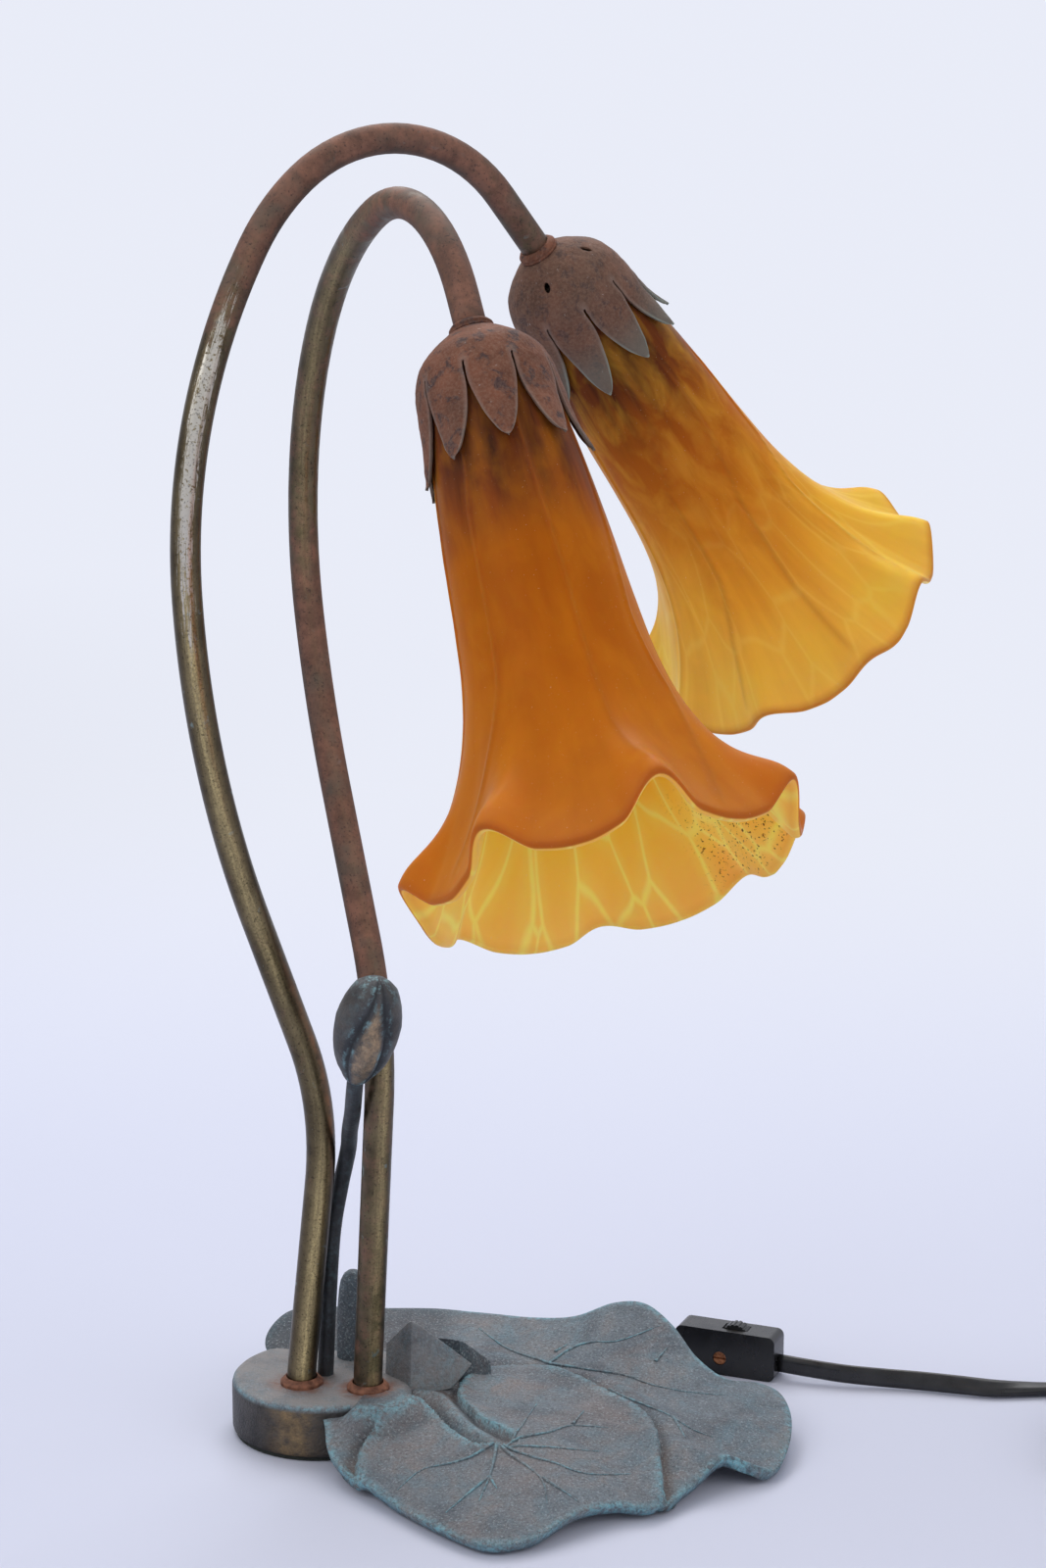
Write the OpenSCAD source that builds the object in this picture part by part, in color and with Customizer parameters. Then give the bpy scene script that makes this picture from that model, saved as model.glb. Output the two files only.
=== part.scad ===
// Two-light pond lily table lamp: a cast lily-pad base, two bent stems, and two
// ruffled glass lily shades that hang from sheet-metal husks. Millimetres, +Z up.
// The origin is the middle of the plinth, on the face that rests on the table.

/* [Base] */
// Diameter of the round plinth under the stems
plinth_d = 59; // [56:0.5:64]
// Height of the plinth top above the table
plinth_h = 19; // [17:0.5:24]
// Thickness of the plinth's top plate
plate_t = 5; // [3.5:0.5:6]
// Thickness of the plinth's side wall
plinth_wall = 4; // [3:0.25:5]
// Thickness of the cast leaves
leaf_t = 3.6; // [3:0.2:5]
// Height of the leaves where the two pads meet
pad_h = 13; // [11:0.5:15]
// How far the front pad stands over the rear one
pad_step = 2.2; // [1:0.2:3]
// Thickness of the felt
felt_t = 1.2; // [0.8:0.1:2]
// Diameter of the small cast feet under the leaves
foot_d = 10; // [8:0.5:12]

/* [Stems] */
// Outer diameter of the stem tubes
stem_d = 9.5; // [9:0.1:10]
// Wall of the stem tubes
stem_wall = 1; // [0.8:0.1:1.2]
// Distance between the feet of the two stems
stem_gap = 22.5; // [21:0.5:24]
// Diameter of the rusty collar at each stem's foot
foot_collar_d = 14; // [13:0.5:16]
// Height of the foot collar
foot_collar_h = 2.6; // [2:0.2:4]
// Width across the flats of the nut under each stem
stem_nut_af = 14; // [13:0.5:15]

/* [Husk and socket] */
// Thickness of the husk's sheet metal
husk_t = 0.9; // [0.7:0.1:1.2]
// Petals on each husk
petals = 9; // [8:1:10]
// Outer diameter of the ring above each husk
neck_collar_d = 13; // [12:0.5:15]
// Length of the ring above each husk
neck_collar_h = 3; // [2.5:0.5:5]
// Diameter of the socket's threaded barrel
barrel_d = 22; // [21:0.5:23]
// Length of the socket below its flange
barrel_len = 22; // [20:0.5:26]
// Bore of the screw shell that takes the bulb
shell_bore = 12; // [11.9:0.05:12.1]

/* [Shade] */
// Length of each glass shade along its axis
shade_len = 156.5; // [148:0.5:168]
// Radius of the mouth between the ruffles
mouth_r = 53; // [48:1:58]
// Thickness of the glass
glass_t = 2.6; // [2.2:0.1:3.2]
// How far the highest ruffle's crest is drawn up
ruffle_up = 12; // [6:0.5:14]
// How far a ruffle's crest is pulled outwards
ruffle_out = 5; // [3:0.5:7]

/* [Bulb] */
// Largest diameter of the bulb's glass
bulb_d = 26; // [20:1:28]
// Length of the bulb's glass below its cap
bulb_len = 46; // [38:1:52]
// Distance that a bulb travels while it is unscrewed
unscrew_travel = 8; // [6:0.5:10]

/* [Bud] */
// Largest diameter of the bud
bud_d = 21; // [19:0.5:22]
// Length of the bud
bud_len = 35; // [32:1:38]
// Diameter of the bud's stem
bud_stem_d = 5.4; // [5:0.1:5.8]

/* [Switch] */
// Length of the switch's case
switch_len = 36; // [35:0.5:44]
// Height of the switch's case as it stands on its edge
switch_h = 16; // [15:0.25:19]
// Thickness of the switch's case
switch_t = 10.5; // [10:0.25:15]
// Diameter of the thumbwheel
wheel_d = 11; // [10.5:0.25:11.5]
// Thickness of the thumbwheel
wheel_t = 4.6; // [4:0.2:5.4]
// How far the thumbwheel stands out of the case
wheel_proud = 1.8; // [1:0.1:2.2]

/* [Cord and plug] */
// Width of the flat twin cord
cord_w = 6.4; // [6:0.1:6.6]
// Thickness of the flat twin cord
cord_t = 3.4; // [3:0.1:3.5]
// Length of the plug's body
plug_len = 26; // [22:1:32]
// Width of the plug's body
plug_w = 21; // [19:0.5:24]
// Thickness of the plug's body
plug_t = 13; // [12:0.5:15]

/* [Hidden] */
$fn = 48;
fit = 0.05;      // running fit, on the radius
seat = 0.3;      // gap between pieces that only sit close
eps = 0.01;

// ---- stems: straight runs [0, length] and bends [radius, angle], angle > 0 forwards ----
back_foot = [3.75 - stem_gap / 2 + 3.75, -10];
front_foot = back_foot + [stem_gap, 0];
back_turn = 44.7;
front_turn = -52.4;
thread_len = 7;
tube_sides = 16;
stem_low = plinth_h - plate_t - thread_len;
stem_rise = plinth_h - stem_low + 2;
back_bends = [[0, stem_rise], [47.4, 6.8], [0, 60.7], [105.2, -27.2], [0, 45.7], [355.1, 17.3],
    [194.8, 32.6], [71, 21.3], [50.8, 90.2], [0, 23.5]];
front_bends = [[0, stem_rise], [47.2, 6.9], [0, 93.8], [88.9, -35], [0, 50.6], [257.5, 12.7],
    [116.6, 47.6], [96.4, 35.5], [52, 79.3], [0, 12.7]];

// ---- socket stack, measured along the shade's axis from the end of the stem ----
nipple_r = (stem_d / 2 - stem_wall) * cos(180 / tube_sides) - fit;
nipple_bore = 2.4;
nipple_up = 12;
nipple_down = 5;
socket_top = husk_t;
flange_low = 8.5;
flange_t = 2;
flange_r = 13.8;
barrel_r = barrel_d / 2;
barrel_low = flange_low + barrel_len;
well_r = shell_bore / 2 + 1.1;
well_top = flange_low + 2;
ring_h = 5;
ring_r = 13.6;
glass_hole_r = barrel_r + 0.5;
tip_top = well_top + 1.5 + seat;
cap_r = shell_bore / 2 - fit;
cap_top = tip_top + 2.6;
cap_low = barrel_low - 2.5;

// ---- wiring in the plinth: the block stands where the planes of the two stems meet ----
wire_r = 1.1;
wire_bend = 2.9;
block_r = 6;
block_far = stem_gap * sin(-front_turn) / sin(back_turn - front_turn);
block_mid = back_foot + block_far * [cos(back_turn), sin(back_turn)];

// ---- shade outline: [share of the length, radius] from the shoulder to the mouth ----
shade_top = flange_low;
shade_low = shade_top + shade_len;
shade_outer = [[0, glass_hole_r], [0, 14.8], [0.012, 16.2], [0.04, 17.5], [0.09, 18.8], [0.17, 20.4],
    [0.27, 22.2], [0.38, 23.8], [0.5, 25.2], [0.62, 27.2], [0.72, 30.6], [0.8, 35.2],
    [0.87, 40.6], [0.93, 46], [0.97, 50], [1, mouth_r]];
shade_facets = 56;
ruffle_start = 0.6;
// angle from a ruffle's crest to where it has died away
ruffle_half = 20;
// hand-draped crests round each mouth, [angle, share of the highest crest]
back_crests = [[5, 0.7], [50, 0.8], [92, 0.9], [134, 0.8], [174, 0.8], [214, 0.75], [248, 0.8], [281, 0.4],
    [322, 0.65]];
front_crests = [[20, 0.45], [70, 0.45], [104, 0.8], [138, 0.95], [188, 1], [238, 0.9], [284, 0.9], [330, 0.45]];

// ---- leaf rim: [x, y, height of the top edge], anticlockwise from the plinth ----
leaf_mid = [75, -5];
leaf_rim = [[9, -29, 15], [16, -44, 8.5], [38, -62, 5.2], [60, -79, 4.4], [76, -87, 4.4],
    [89, -81, 5], [100, -66, 8], [111, -55, 7], [122, -50, 4.8], [130, -36, 6],
    [139, -22, 11.5], [147, -17, 8], [154, -12, 4.4], [156, 4, 6.5], [154, 22, 9],
    [148, 38, 10], [140, 43, 11], [129, 40, 13], [118, 47, 17], [108, 58, 23],
    [97, 66, 27], [86, 66, 26.5], [73, 65, 21], [58, 68, 18], [40, 72, 16.5],
    [22, 70, 17.5], [4, 60, 20], [-12, 47, 24], [-22, 33, 26], [-25, 19, 20],
    [-12, 4, 13], [2, -16, 13]];
rim_steps = 2;
leaf_rings = 10;
front_pad_mid = [72, -30];
front_pad_r = 61;
// feet under the leaves, [x, y, height where each one ends inside its leaf]
leaf_feet = [[74, -77, 4.5], [148, -3, 5], [56, 48, 13]];

// ---- bud ----
bud_foot = [1.7, -0.7];
// centre of the bud's stem: it passes behind the back stem and then forwards between the two
bud_route = [[bud_foot[0], bud_foot[1], plinth_h], [2.9, 0, 45], [4.2, 1.6, 68], [6.6, 2.4, 83],
    [10.8, -2.4, 98], [14.1, -12, 108], [17.7, -21.7, 117], [20.3, -29.3, 125], [21.9, -33.2, 131.4]];
bud_top = [30.9, -37.4, 166.9];
// [share of the bud's length, share of its radius, depth of the grooves]
bud_outline = [[0.04, 0.42, 0.05], [0.12, 0.58, 0.12], [0.24, 0.81, 0.2], [0.4, 0.95, 0.26], [0.59, 1, 0.28],
    [0.7, 0.94, 0.27], [0.8, 0.83, 0.24], [0.89, 0.68, 0.2], [0.955, 0.46, 0.12], [1, 0.14, 0]];

// ---- switch and cord, on the table behind the leaves ----
// the switch stands on its long edge, turned a little towards the front
switch_mid = [124.4, 77.9];
switch_turn = -10;
switch_way = [cos(switch_turn), sin(switch_turn)];
switch_left = switch_mid - switch_way * switch_len / 2;
switch_right = switch_mid + switch_way * switch_len / 2;
screw_x = -1.8;
screw_z = switch_h * 0.37;
wheel_x = screw_x + 4.4;
wheel_z = switch_h + wheel_proud - wheel_d / 2;
switch_cord_z = 5.4;
cord_z = 6.5;
gland_len = 20;
gland_y = plinth_d / 2 + gland_len;
// points [x, y, z, turn] of each free stretch; turn 0 is on edge and 90 is flat
lead_route = [[0, gland_y, cord_z, 0], [0, 56, 5.6, 0], [6, 68, 4.2, 0], [18, 78, 3.6, 0],
    [34, 84, 3.4, 0], [52, 87.5, 3.4, 0], [70, 88, 3.6, 0], [84, 86, 4.2, 0], [96, 82.8, 5.1, 0],
    [switch_left[0], switch_left[1], switch_cord_z, 0]];
coil_mid = [285, 38];
coil_r = 42;
coil_z = 4.2;
run_route = [[switch_right[0], switch_right[1], switch_cord_z, 0], [153, 73.2, 5, 0], [165, 72.6, 4.3, 5],
    [178, 73.4, 3.7, 12], [191, 74, 3.4, 20], [204, 73.6, 3.3, 30], [215, 74, 2.9, 50],
    [226, 77.4, 2.3, 75], [238, 81, 2.1, 90], [250, 82, 2.6, 60], [262, 81, 3.6, 25],
    [coil_mid[0] - 8, coil_mid[1] + coil_r, coil_z, 0]];
coil_pitch = cord_t + 1.7;
coil_in = 3.25;
coil_out = 3;
coil_rings = 24;
coil_rise = cord_w + 0.45;
coil_end_r = coil_r - coil_pitch * (coil_in - coil_out);
plug_mid = [coil_mid[0] + coil_end_r, -8];
plug_z = plug_t / 2 + 0.2;
tail_route = [[plug_mid[0], coil_mid[1] - 8, coil_z + coil_rise, 0],
    [plug_mid[0], 22, 10.2, 20], [plug_mid[0], 12, 8.6, 55], [plug_mid[0], 4, 7.2, 85],
    [plug_mid[0], plug_mid[1], plug_z, 90]];

// ---------------------------------------------------------------- shared helpers

// Place [x, z, heading] at the end of the first n bends of a stem
function bend_end(b, n, p = [0, 0, 0]) =
    n == 0 ? p : let (
        q = bend_end(b, n - 1, p),
        s = b[n - 1],
        r = s[0],
        a = s[1],
        k = a < 0 ? -1 : 1
    ) r == 0
        ? [q[0] + a * sin(q[2]), q[1] + a * cos(q[2]), q[2]]
        : [q[0] + k * r * (cos(q[2]) - cos(q[2] + a)),
           q[1] + k * r * (sin(q[2] + a) - sin(q[2])),
           q[2] + a];

// Stations [x, z, heading] along the bends, one at each end of a piece and more round a bend
function bend_steps(s) = s[0] == 0 ? 1 : ceil(abs(s[1]) / 9.2);

function stations(b, start) = concat([[0, 0, start]], [for (i = [0 : len(b) - 1]) let (
        q = bend_end(b, i, [0, 0, start]),
        n = bend_steps(b[i])
    ) for (j = [1 : n]) bend_end([[b[i][0], b[i][1] * j / n]], 1, q)]);

// Ring of m points round a station, moved sideways by y
function round_ring(q, r, m, y = 0) = [for (k = [0 : m - 1]) let (a = (k + 0.5) * 360 / m)
    [q[0] + r * sin(a) * cos(q[2]), y + r * cos(a), q[1] - r * sin(a) * sin(q[2])]];

// Skin over rings of points, closed at both ends
module skin(rings) {
    n = len(rings);
    m = len(rings[0]);
    polyhedron([for (r = rings) each r], concat(
        [[for (i = [0 : m - 1]) i]], [[for (i = [m - 1 : -1 : 0]) (n - 1) * m + i]],
        [for (j = [0 : n - 2], i = [0 : m - 1]) let (k = (i + 1) % m)
            each [[j * m + i, (j + 1) * m + i, (j + 1) * m + k], [j * m + i, (j + 1) * m + k, j * m + k]]]));
}

module rod(b, r, m, start = 0, y = 0) {
    skin([for (q = stations(b, start)) round_ring(q, r, m, y)]);
}

// Tube whose section is drawn as a closed loop, out along the outside and back along the bore
module tube(b, r_out, r_in, m) {
    st = stations(b, 0);
    n = len(st);
    pts = concat([for (q = st) each round_ring(q, r_out, m)], [for (q = st) each round_ring(q, r_in, m)]);
    off = n * m;
    polyhedron(pts, [
        for (j = [0 : n - 2], i = [0 : m - 1]) let (k = (i + 1) % m)
            each [[j * m + i, (j + 1) * m + i, (j + 1) * m + k], [j * m + i, (j + 1) * m + k, j * m + k],
                [off + j * m + i, off + (j + 1) * m + k, off + (j + 1) * m + i],
                [off + j * m + i, off + j * m + k, off + (j + 1) * m + k]],
        for (i = [0 : m - 1]) let (k = (i + 1) % m, e = (n - 1) * m)
            each [[i, k, off + k], [i, off + k, off + i],
                [e + i, off + e + k, e + k], [e + i, off + e + i, off + e + k]]
    ]);
}

module ring(r_out, r_in, h) {
    difference() {
        cylinder(r = r_out, h = h);
        translate([0, 0, -eps]) cylinder(r = r_in, h = h + 2 * eps);
    }
}

module hexagon(af, h) cylinder(r = af / sqrt(3), h = h, $fn = 6);

// Frame at the free end of a stem: +Z runs down the shade's axis
module at_back_end() {
    q = bend_end(back_bends, len(back_bends));
    translate([back_foot[0], back_foot[1], stem_low]) rotate([0, 0, back_turn])
        translate([q[0], 0, q[1]]) rotate([0, q[2], 0]) children();
}

module at_front_end() {
    q = bend_end(front_bends, len(front_bends));
    translate([front_foot[0], front_foot[1], stem_low]) rotate([0, 0, front_turn])
        translate([q[0], 0, q[1]]) rotate([0, q[2], 0]) children();
}

module at_feet() {
    for (f = [back_foot, front_foot]) translate([f[0], f[1], 0]) children();
}

module at_both_ends() {
    at_back_end() children();
    at_front_end() children();
}

// ---------------------------------------------------------------- base

// Smooth closed curve through the rim's points
function rim_point(u) = let (
        n = len(leaf_rim),
        i = floor(u),
        f = u - i,
        a = leaf_rim[(i + n - 1) % n],
        b = leaf_rim[i % n],
        c = leaf_rim[(i + 1) % n],
        d = leaf_rim[(i + 2) % n]
    ) 0.5 * (2 * b + (c - a) * f + (2 * a - 5 * b + 4 * c - d) * f * f
        + (3 * b - a - 3 * c + d) * f * f * f);

function ease(x) = let (c = min(1, max(0, x))) c * c * (3 - 2 * c);

// Top of the leaves: the hub's height fades to the rim's, and the front pad lies over the rear
function leaf_top(u, s) = let (
        p = rim_point(u),
        x = leaf_mid[0] + (p[0] - leaf_mid[0]) * s,
        y = leaf_mid[1] + (p[1] - leaf_mid[1]) * s,
        over = ease((front_pad_r - norm([x, y] - front_pad_mid)) / 6) * (1 - s * s),
        z = pad_h + (p[2] - pad_h) * pow(s, 2.2) + pad_step * over
    ) [x, y, z];

function leaf_under(u, s) = let (t = leaf_top(u, s), inset = 1 - 0.02 * s)
    [leaf_mid[0] + (t[0] - leaf_mid[0]) * inset, leaf_mid[1] + (t[1] - leaf_mid[1]) * inset,
     max(felt_t, t[2] - leaf_t)];

module leaves() {
    n = len(leaf_rim) * rim_steps;
    m = leaf_rings;
    top = [for (j = [1 : m], i = [0 : n - 1]) leaf_top(i / rim_steps, j / m)];
    under = [for (j = [1 : m], i = [0 : n - 1]) leaf_under(i / rim_steps, j / m)];
    hub = [leaf_top(0, 0), leaf_under(0, 0)];
    off = n * m;
    faces = [
        for (i = [0 : n - 1]) let (k = (i + 1) % n) [2 * off, k, i],
        for (i = [0 : n - 1]) let (k = (i + 1) % n) [2 * off + 1, off + i, off + k],
        for (j = [0 : m - 2], i = [0 : n - 1]) let (k = (i + 1) % n)
            each [[j * n + i, j * n + k, (j + 1) * n + k], [j * n + i, (j + 1) * n + k, (j + 1) * n + i]],
        for (j = [0 : m - 2], i = [0 : n - 1]) let (k = (i + 1) % n)
            each [[off + j * n + i, off + (j + 1) * n + k, off + j * n + k],
                  [off + j * n + i, off + (j + 1) * n + i, off + (j + 1) * n + k]],
        for (i = [0 : n - 1]) let (k = (i + 1) % n, a = (m - 1) * n)
            each [[a + i, a + k, off + a + k], [a + i, off + a + k, off + a + i]]
    ];
    polyhedron(concat(top, under, hub), faces);
}

// Rolled young leaf that stands behind the stems
module furled_leaf() {
    translate([9, 17, plinth_h - plate_t]) rotate_extrude() polygon([[0, 0], [6.4, 0], [6.6, 12],
        [6.4, 22], [5.6, 27], [4.2, 31], [2.2, 33.6], [0, 34.4]]);
}

// Folded leaf that stands between the front stem and the pads
module folded_leaf() {
    low = plinth_h - plate_t;
    hull() for (p = [[25, 2, low], [33, -4, low], [46, 15, low], [38, 32, low - 2], [12, 27, low],
            [31, 11, 38], [21, 12, 38]])
        translate(p) sphere(r = 1.6, $fn = 8);
}

module base_casting() color("#5f7178") difference() {
    union() {
        translate([0, 0, felt_t]) cylinder(d = plinth_d, h = plinth_h - felt_t);
        translate([front_foot[0], front_foot[1], felt_t]) cylinder(r = 14.5, h = plinth_h - felt_t);
        leaves();
        furled_leaf();
        folded_leaf();
        for (p = leaf_feet) translate([p[0], p[1], felt_t]) cylinder(d = foot_d, h = p[2] - felt_t);
    }
    wiring_space();
    at_feet() cylinder(r = stem_d / 2 + fit, h = 2 * plinth_h);
    translate([bud_foot[0], bud_foot[1], 0]) cylinder(r = 2 + fit, h = plinth_h + eps);
    translate([0, plinth_d / 2 - 2 * plinth_wall, cord_z]) rotate([-90, 0, 0])
        cylinder(r = 5.5 + fit, h = 3 * plinth_wall);
}

// Hollow under the plinth for the nuts and the wires
module wiring_space() {
    h = plinth_h - plate_t;
    translate([0, 0, -eps]) cylinder(r = plinth_d / 2 - plinth_wall, h = h + eps);
    translate([front_foot[0], front_foot[1], -eps]) cylinder(r = 11.2, h = h + eps);
}

module felt_pads() color("#20231f") {
    cylinder(d = plinth_d - 2, h = felt_t);
    for (p = leaf_feet) translate([p[0], p[1], 0]) cylinder(d = foot_d - 1, h = felt_t);
}

// ---------------------------------------------------------------- stems

module stem(foot, turn, bends) {
    translate([foot[0], foot[1], stem_low]) rotate([0, 0, turn])
        tube(bends, stem_d / 2, stem_d / 2 - stem_wall, tube_sides);
}

module stem_back() color("#6b4f37") stem(back_foot, back_turn, back_bends);

module stem_front() color("#6b4a33") stem(front_foot, front_turn, front_bends);

module foot_collars() color("#8a5238") at_feet() translate([0, 0, plinth_h]) difference() {
    rotate_extrude() polygon([[0, 0], [foot_collar_d / 2, 0], [foot_collar_d / 2, 1],
        [foot_collar_d / 2 - 1.4, foot_collar_h], [0, foot_collar_h]]);
    translate([0, 0, -eps]) cylinder(r = stem_d / 2 + 2 * fit + 0.3, h = foot_collar_h + 1);
}

module stem_washers() color("#9a9284") at_feet() translate([0, 0, plinth_h - plate_t - 1])
    ring(stem_nut_af / 2 + 0.5, stem_d / 2 + fit, 1);

module stem_nuts() color("#a58c4e") at_feet() translate([0, 0, plinth_h - plate_t - 6]) difference() {
    hexagon(stem_nut_af, 5);
    translate([0, 0, -eps]) cylinder(r = stem_d / 2 + fit, h = 6);
}

// ---------------------------------------------------------------- bud

// Ring of the bud round c, square to t, drawn in at the three grooves between its lobes
function bud_ring(c, t, r, groove) = let (
        h = t / norm(t),
        u = cross([-0.22, 0.98, 0], h) / norm(cross([-0.22, 0.98, 0], h)),
        v = cross(h, u)
    ) [for (k = [0 : 23]) let (
        a = k * 15,
        s = r * (1 - groove * pow(1 - abs(cos(1.5 * a + 25)), 2))
    ) c + s * (v * cos(a) + u * sin(a))];

module bud() color("#4d5750") {
    base = bud_route[len(bud_route) - 1];
    axis = bud_top - base;
    reach = bud_len / norm(axis);
    skin(concat(
        [for (i = [0 : 2 * len(bud_route) - 3]) let (
                u = i / 2,
                t = i == 0 ? [0, 0, 1] : spline(bud_route, u + 0.05) - spline(bud_route, u - 0.05)
            ) bud_ring(spline(bud_route, u), t, bud_stem_d / 2, 0)],
        [for (p = bud_outline) bud_ring(base + axis * reach * p[0], axis, p[1] * bud_d / 2, p[2])]));
}

module bud_screw() color("#8d8a82") translate([bud_foot[0], bud_foot[1], 0]) {
    translate([0, 0, plinth_h - plate_t - 2]) cylinder(r = 2.6, h = 2);
    translate([0, 0, plinth_h - plate_t - eps]) cylinder(r = 1.5, h = plate_t + 2);
}

// ---------------------------------------------------------------- husks and sockets

module neck_collars() color("#7a4a33") at_both_ends() translate([0, 0, -neck_collar_h])
    difference() {
        rotate_extrude() polygon([[0, 0], [neck_collar_d / 2 - 1.5, 0], [neck_collar_d / 2, 1.5],
            [neck_collar_d / 2, neck_collar_h], [0, neck_collar_h]]);
        translate([0, 0, -eps]) cylinder(r = stem_d / 2 + fit, h = neck_collar_h + 1);
    }

husk_outer = [[0, 6.5], [1.2, 8.6], [3, 11.2], [5.5, 14.3], [8, 16.8], [10.5, 18.6], [16, 20.4],
    [22.5, 21.3], [30.5, 22], [36, 22.8], [41.5, 24], [45, 25]];

// One petal's outline: [distance along the axis, half width]
petal_edge = [[9, 7.65], [17, 7.1], [21, 7.1], [25, 6.75], [29, 6.15], [33, 5.15], [37, 3.9], [40.5, 2.3], [43.5, 0]];

// Vent holes in the back husk's dome: angles, and one hole's half length and half width
husk_vents = [50, 140, 230, 312];
vent_size = [1.9, 1];
vent_place = [5.5, 14.3];
vent_tilt = 141;

module husk(spin) color("#6e4a3b") rotate([0, 0, spin]) intersection() {
    rotate_extrude() polygon(concat([[nipple_r + fit, 0]], [for (p = husk_outer) [p[1], p[0]]],
        [for (i = [len(husk_outer) - 1 : -1 : 1]) [husk_outer[i][1] - husk_t, husk_outer[i][0] + 0.2]],
        [[husk_outer[0][1] - husk_t, husk_t], [nipple_r + fit, husk_t]]));
    union() {
        translate([0, 0, -1]) cylinder(r = 40, h = 17.2);
        for (i = [0 : petals - 1]) rotate([0, 0, i * 360 / petals]) rotate([90, 0, 90])
            linear_extrude(40) polygon(concat([for (p = petal_edge) [p[1] * 9 / petals, p[0]]],
                [for (j = [len(petal_edge) - 2 : -1 : 0]) [-petal_edge[j][1] * 9 / petals, petal_edge[j][0]]]));
    }
}

module husk_back() at_back_end() difference() {
    husk(31);
    for (a = husk_vents) color("#6e4a3b") rotate([0, 0, a]) translate([vent_place[1], 0, vent_place[0]])
        rotate([0, vent_tilt, 0]) translate([0, 0, -2])
            linear_extrude(4) polygon([for (i = [0 : 9]) [vent_size[0] * cos(36 * i), vent_size[1] * sin(36 * i)]]);
}

module husk_front() at_front_end() husk(0);

module socket_nipples() color("#b39a5a") at_both_ends() translate([0, 0, -nipple_up])
    ring(nipple_r, nipple_bore, nipple_up + nipple_down);

module socket() color("#2b2623") difference() {
    union() {
        translate([0, 0, socket_top]) cylinder(r = 5.2, h = 3);
        translate([0, 0, socket_top + 2]) cylinder(r = 9.4, h = flange_low - socket_top - 2);
        translate([0, 0, flange_low - flange_t]) cylinder(r = flange_r, h = flange_t);
        translate([0, 0, flange_low - eps]) cylinder(r = barrel_r, h = barrel_len + eps);
    }
    translate([0, 0, -eps]) cylinder(r = nipple_r + fit, h = nipple_down + 2 * eps);
    translate([0, 0, -eps]) cylinder(r = nipple_bore, h = well_top + 1);
    translate([0, 0, well_top]) cylinder(r = well_r, h = barrel_len + 1);
}

module socket_back() at_back_end() socket();

module socket_front() at_front_end() socket();

module screw_shells() color("#c2a255") at_both_ends() translate([0, 0, well_top])
    ring(well_r, shell_bore / 2, barrel_low - well_top - 3);

module centre_contacts() color("#c9ab5e") at_both_ends() translate([0, 0, well_top]) {
    cylinder(r = 3.4, h = 0.6);
    cylinder(r = 1.6, h = 1.5);
}

module shade_rings() color("#2b2623") at_both_ends() translate([0, 0, flange_low + glass_t])
    ring(ring_r, barrel_r + fit, ring_h);

// ---------------------------------------------------------------- glass shades

// Closed section of the wall, [share, radius, inside], outside first and then back up inside
shade_inner = [for (i = [len(shade_outer) - 1 : -1 : 0]) let (
        p = shade_outer[i],
        a = shade_outer[max(0, i - 1)],
        b = shade_outer[min(len(shade_outer) - 1, i + 1)],
        dt = (b[0] - a[0]) * shade_len,
        dr = b[1] - a[1],
        l = norm([dt, dr])
    ) i == 0 ? [glass_t / shade_len, p[1]]
    : i == 1 ? [glass_t / shade_len, ring_r + 0.3]
    : i == len(shade_outer) - 1 ? [p[0] + 0.3 * glass_t / shade_len, p[1] - glass_t * 0.7]
    : [p[0] + glass_t * max(0, dr / l) / shade_len * (i < 4 ? 1 : 0.55), p[1] - glass_t * dt / l]];

// A bump round one crest, nothing beyond ruffle_half from it
function ruffle_bump(c, a) = let (d = abs((a - c[0] + 540) % 360 - 180))
    d < ruffle_half ? c[1] * (1 + cos(180 * d / ruffle_half)) / 2 : 0;

function shade_point(p, a, crests) = let (
        w = ease((p[0] - ruffle_start) / (1 - ruffle_start)),
        crest = max([for (c = crests) ruffle_bump(c, a)]) - 0.2,
        r = p[1] + ruffle_out * w * crest,
        z = shade_top + shade_len * p[0] - ruffle_up * w * w * crest
    ) [r * cos(a), r * sin(a), z];

module shade(crests) color("#c9812f", 0.9) {
    loop = concat(shade_outer, shade_inner);
    m = len(loop);
    n = shade_facets;
    pts = [for (j = [0 : n - 1], p = loop) shade_point(p, j * 360 / n, crests)];
    faces = [for (j = [0 : n - 1], i = [0 : m - 1]) let (k = (i + 1) % m, q = (j + 1) % n)
        each [[j * m + i, q * m + i, q * m + k], [j * m + i, q * m + k, j * m + k]]];
    polyhedron(pts, faces);
}

module shade_back() at_back_end() shade(back_crests);

module shade_front() at_front_end() shade(front_crests);

// ---------------------------------------------------------------- bulbs

module bulb_glass() color("#f1ead8", 0.7) {
    r = bulb_d / 2;
    translate([0, 0, cap_low]) difference() {
        bulb_form(r, bulb_len, cap_r - 0.4);
        translate([0, 0, -eps]) bulb_form(r - 0.8, bulb_len - 1.6, cap_r - 1.2);
    }
}

module bulb_form(r, l, neck) rotate_extrude() polygon(concat([[0, 0], [neck, 0], [neck + 0.4, l * 0.06]],
    [for (i = [0 : 9]) let (a = -52 + i * 142 / 9) [r * cos(a), l * 0.5 + (a < 0 ? 0.42 : 0.5) * l * sin(a)]],
    [[0, l]]));

module bulb_cap() color("#b8a36a") difference() {
    translate([0, 0, cap_top]) cylinder(r = cap_r, h = cap_low - cap_top);
    translate([0, 0, cap_top + 1]) cylinder(r = cap_r - 0.5, h = cap_low);
}

module bulb_tip() color("#3a3632") {
    translate([0, 0, tip_top + 0.8]) cylinder(r = 4.4, h = cap_top - tip_top - 0.8);
    translate([0, 0, tip_top]) cylinder(r = 1.8, h = 1);
}

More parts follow.
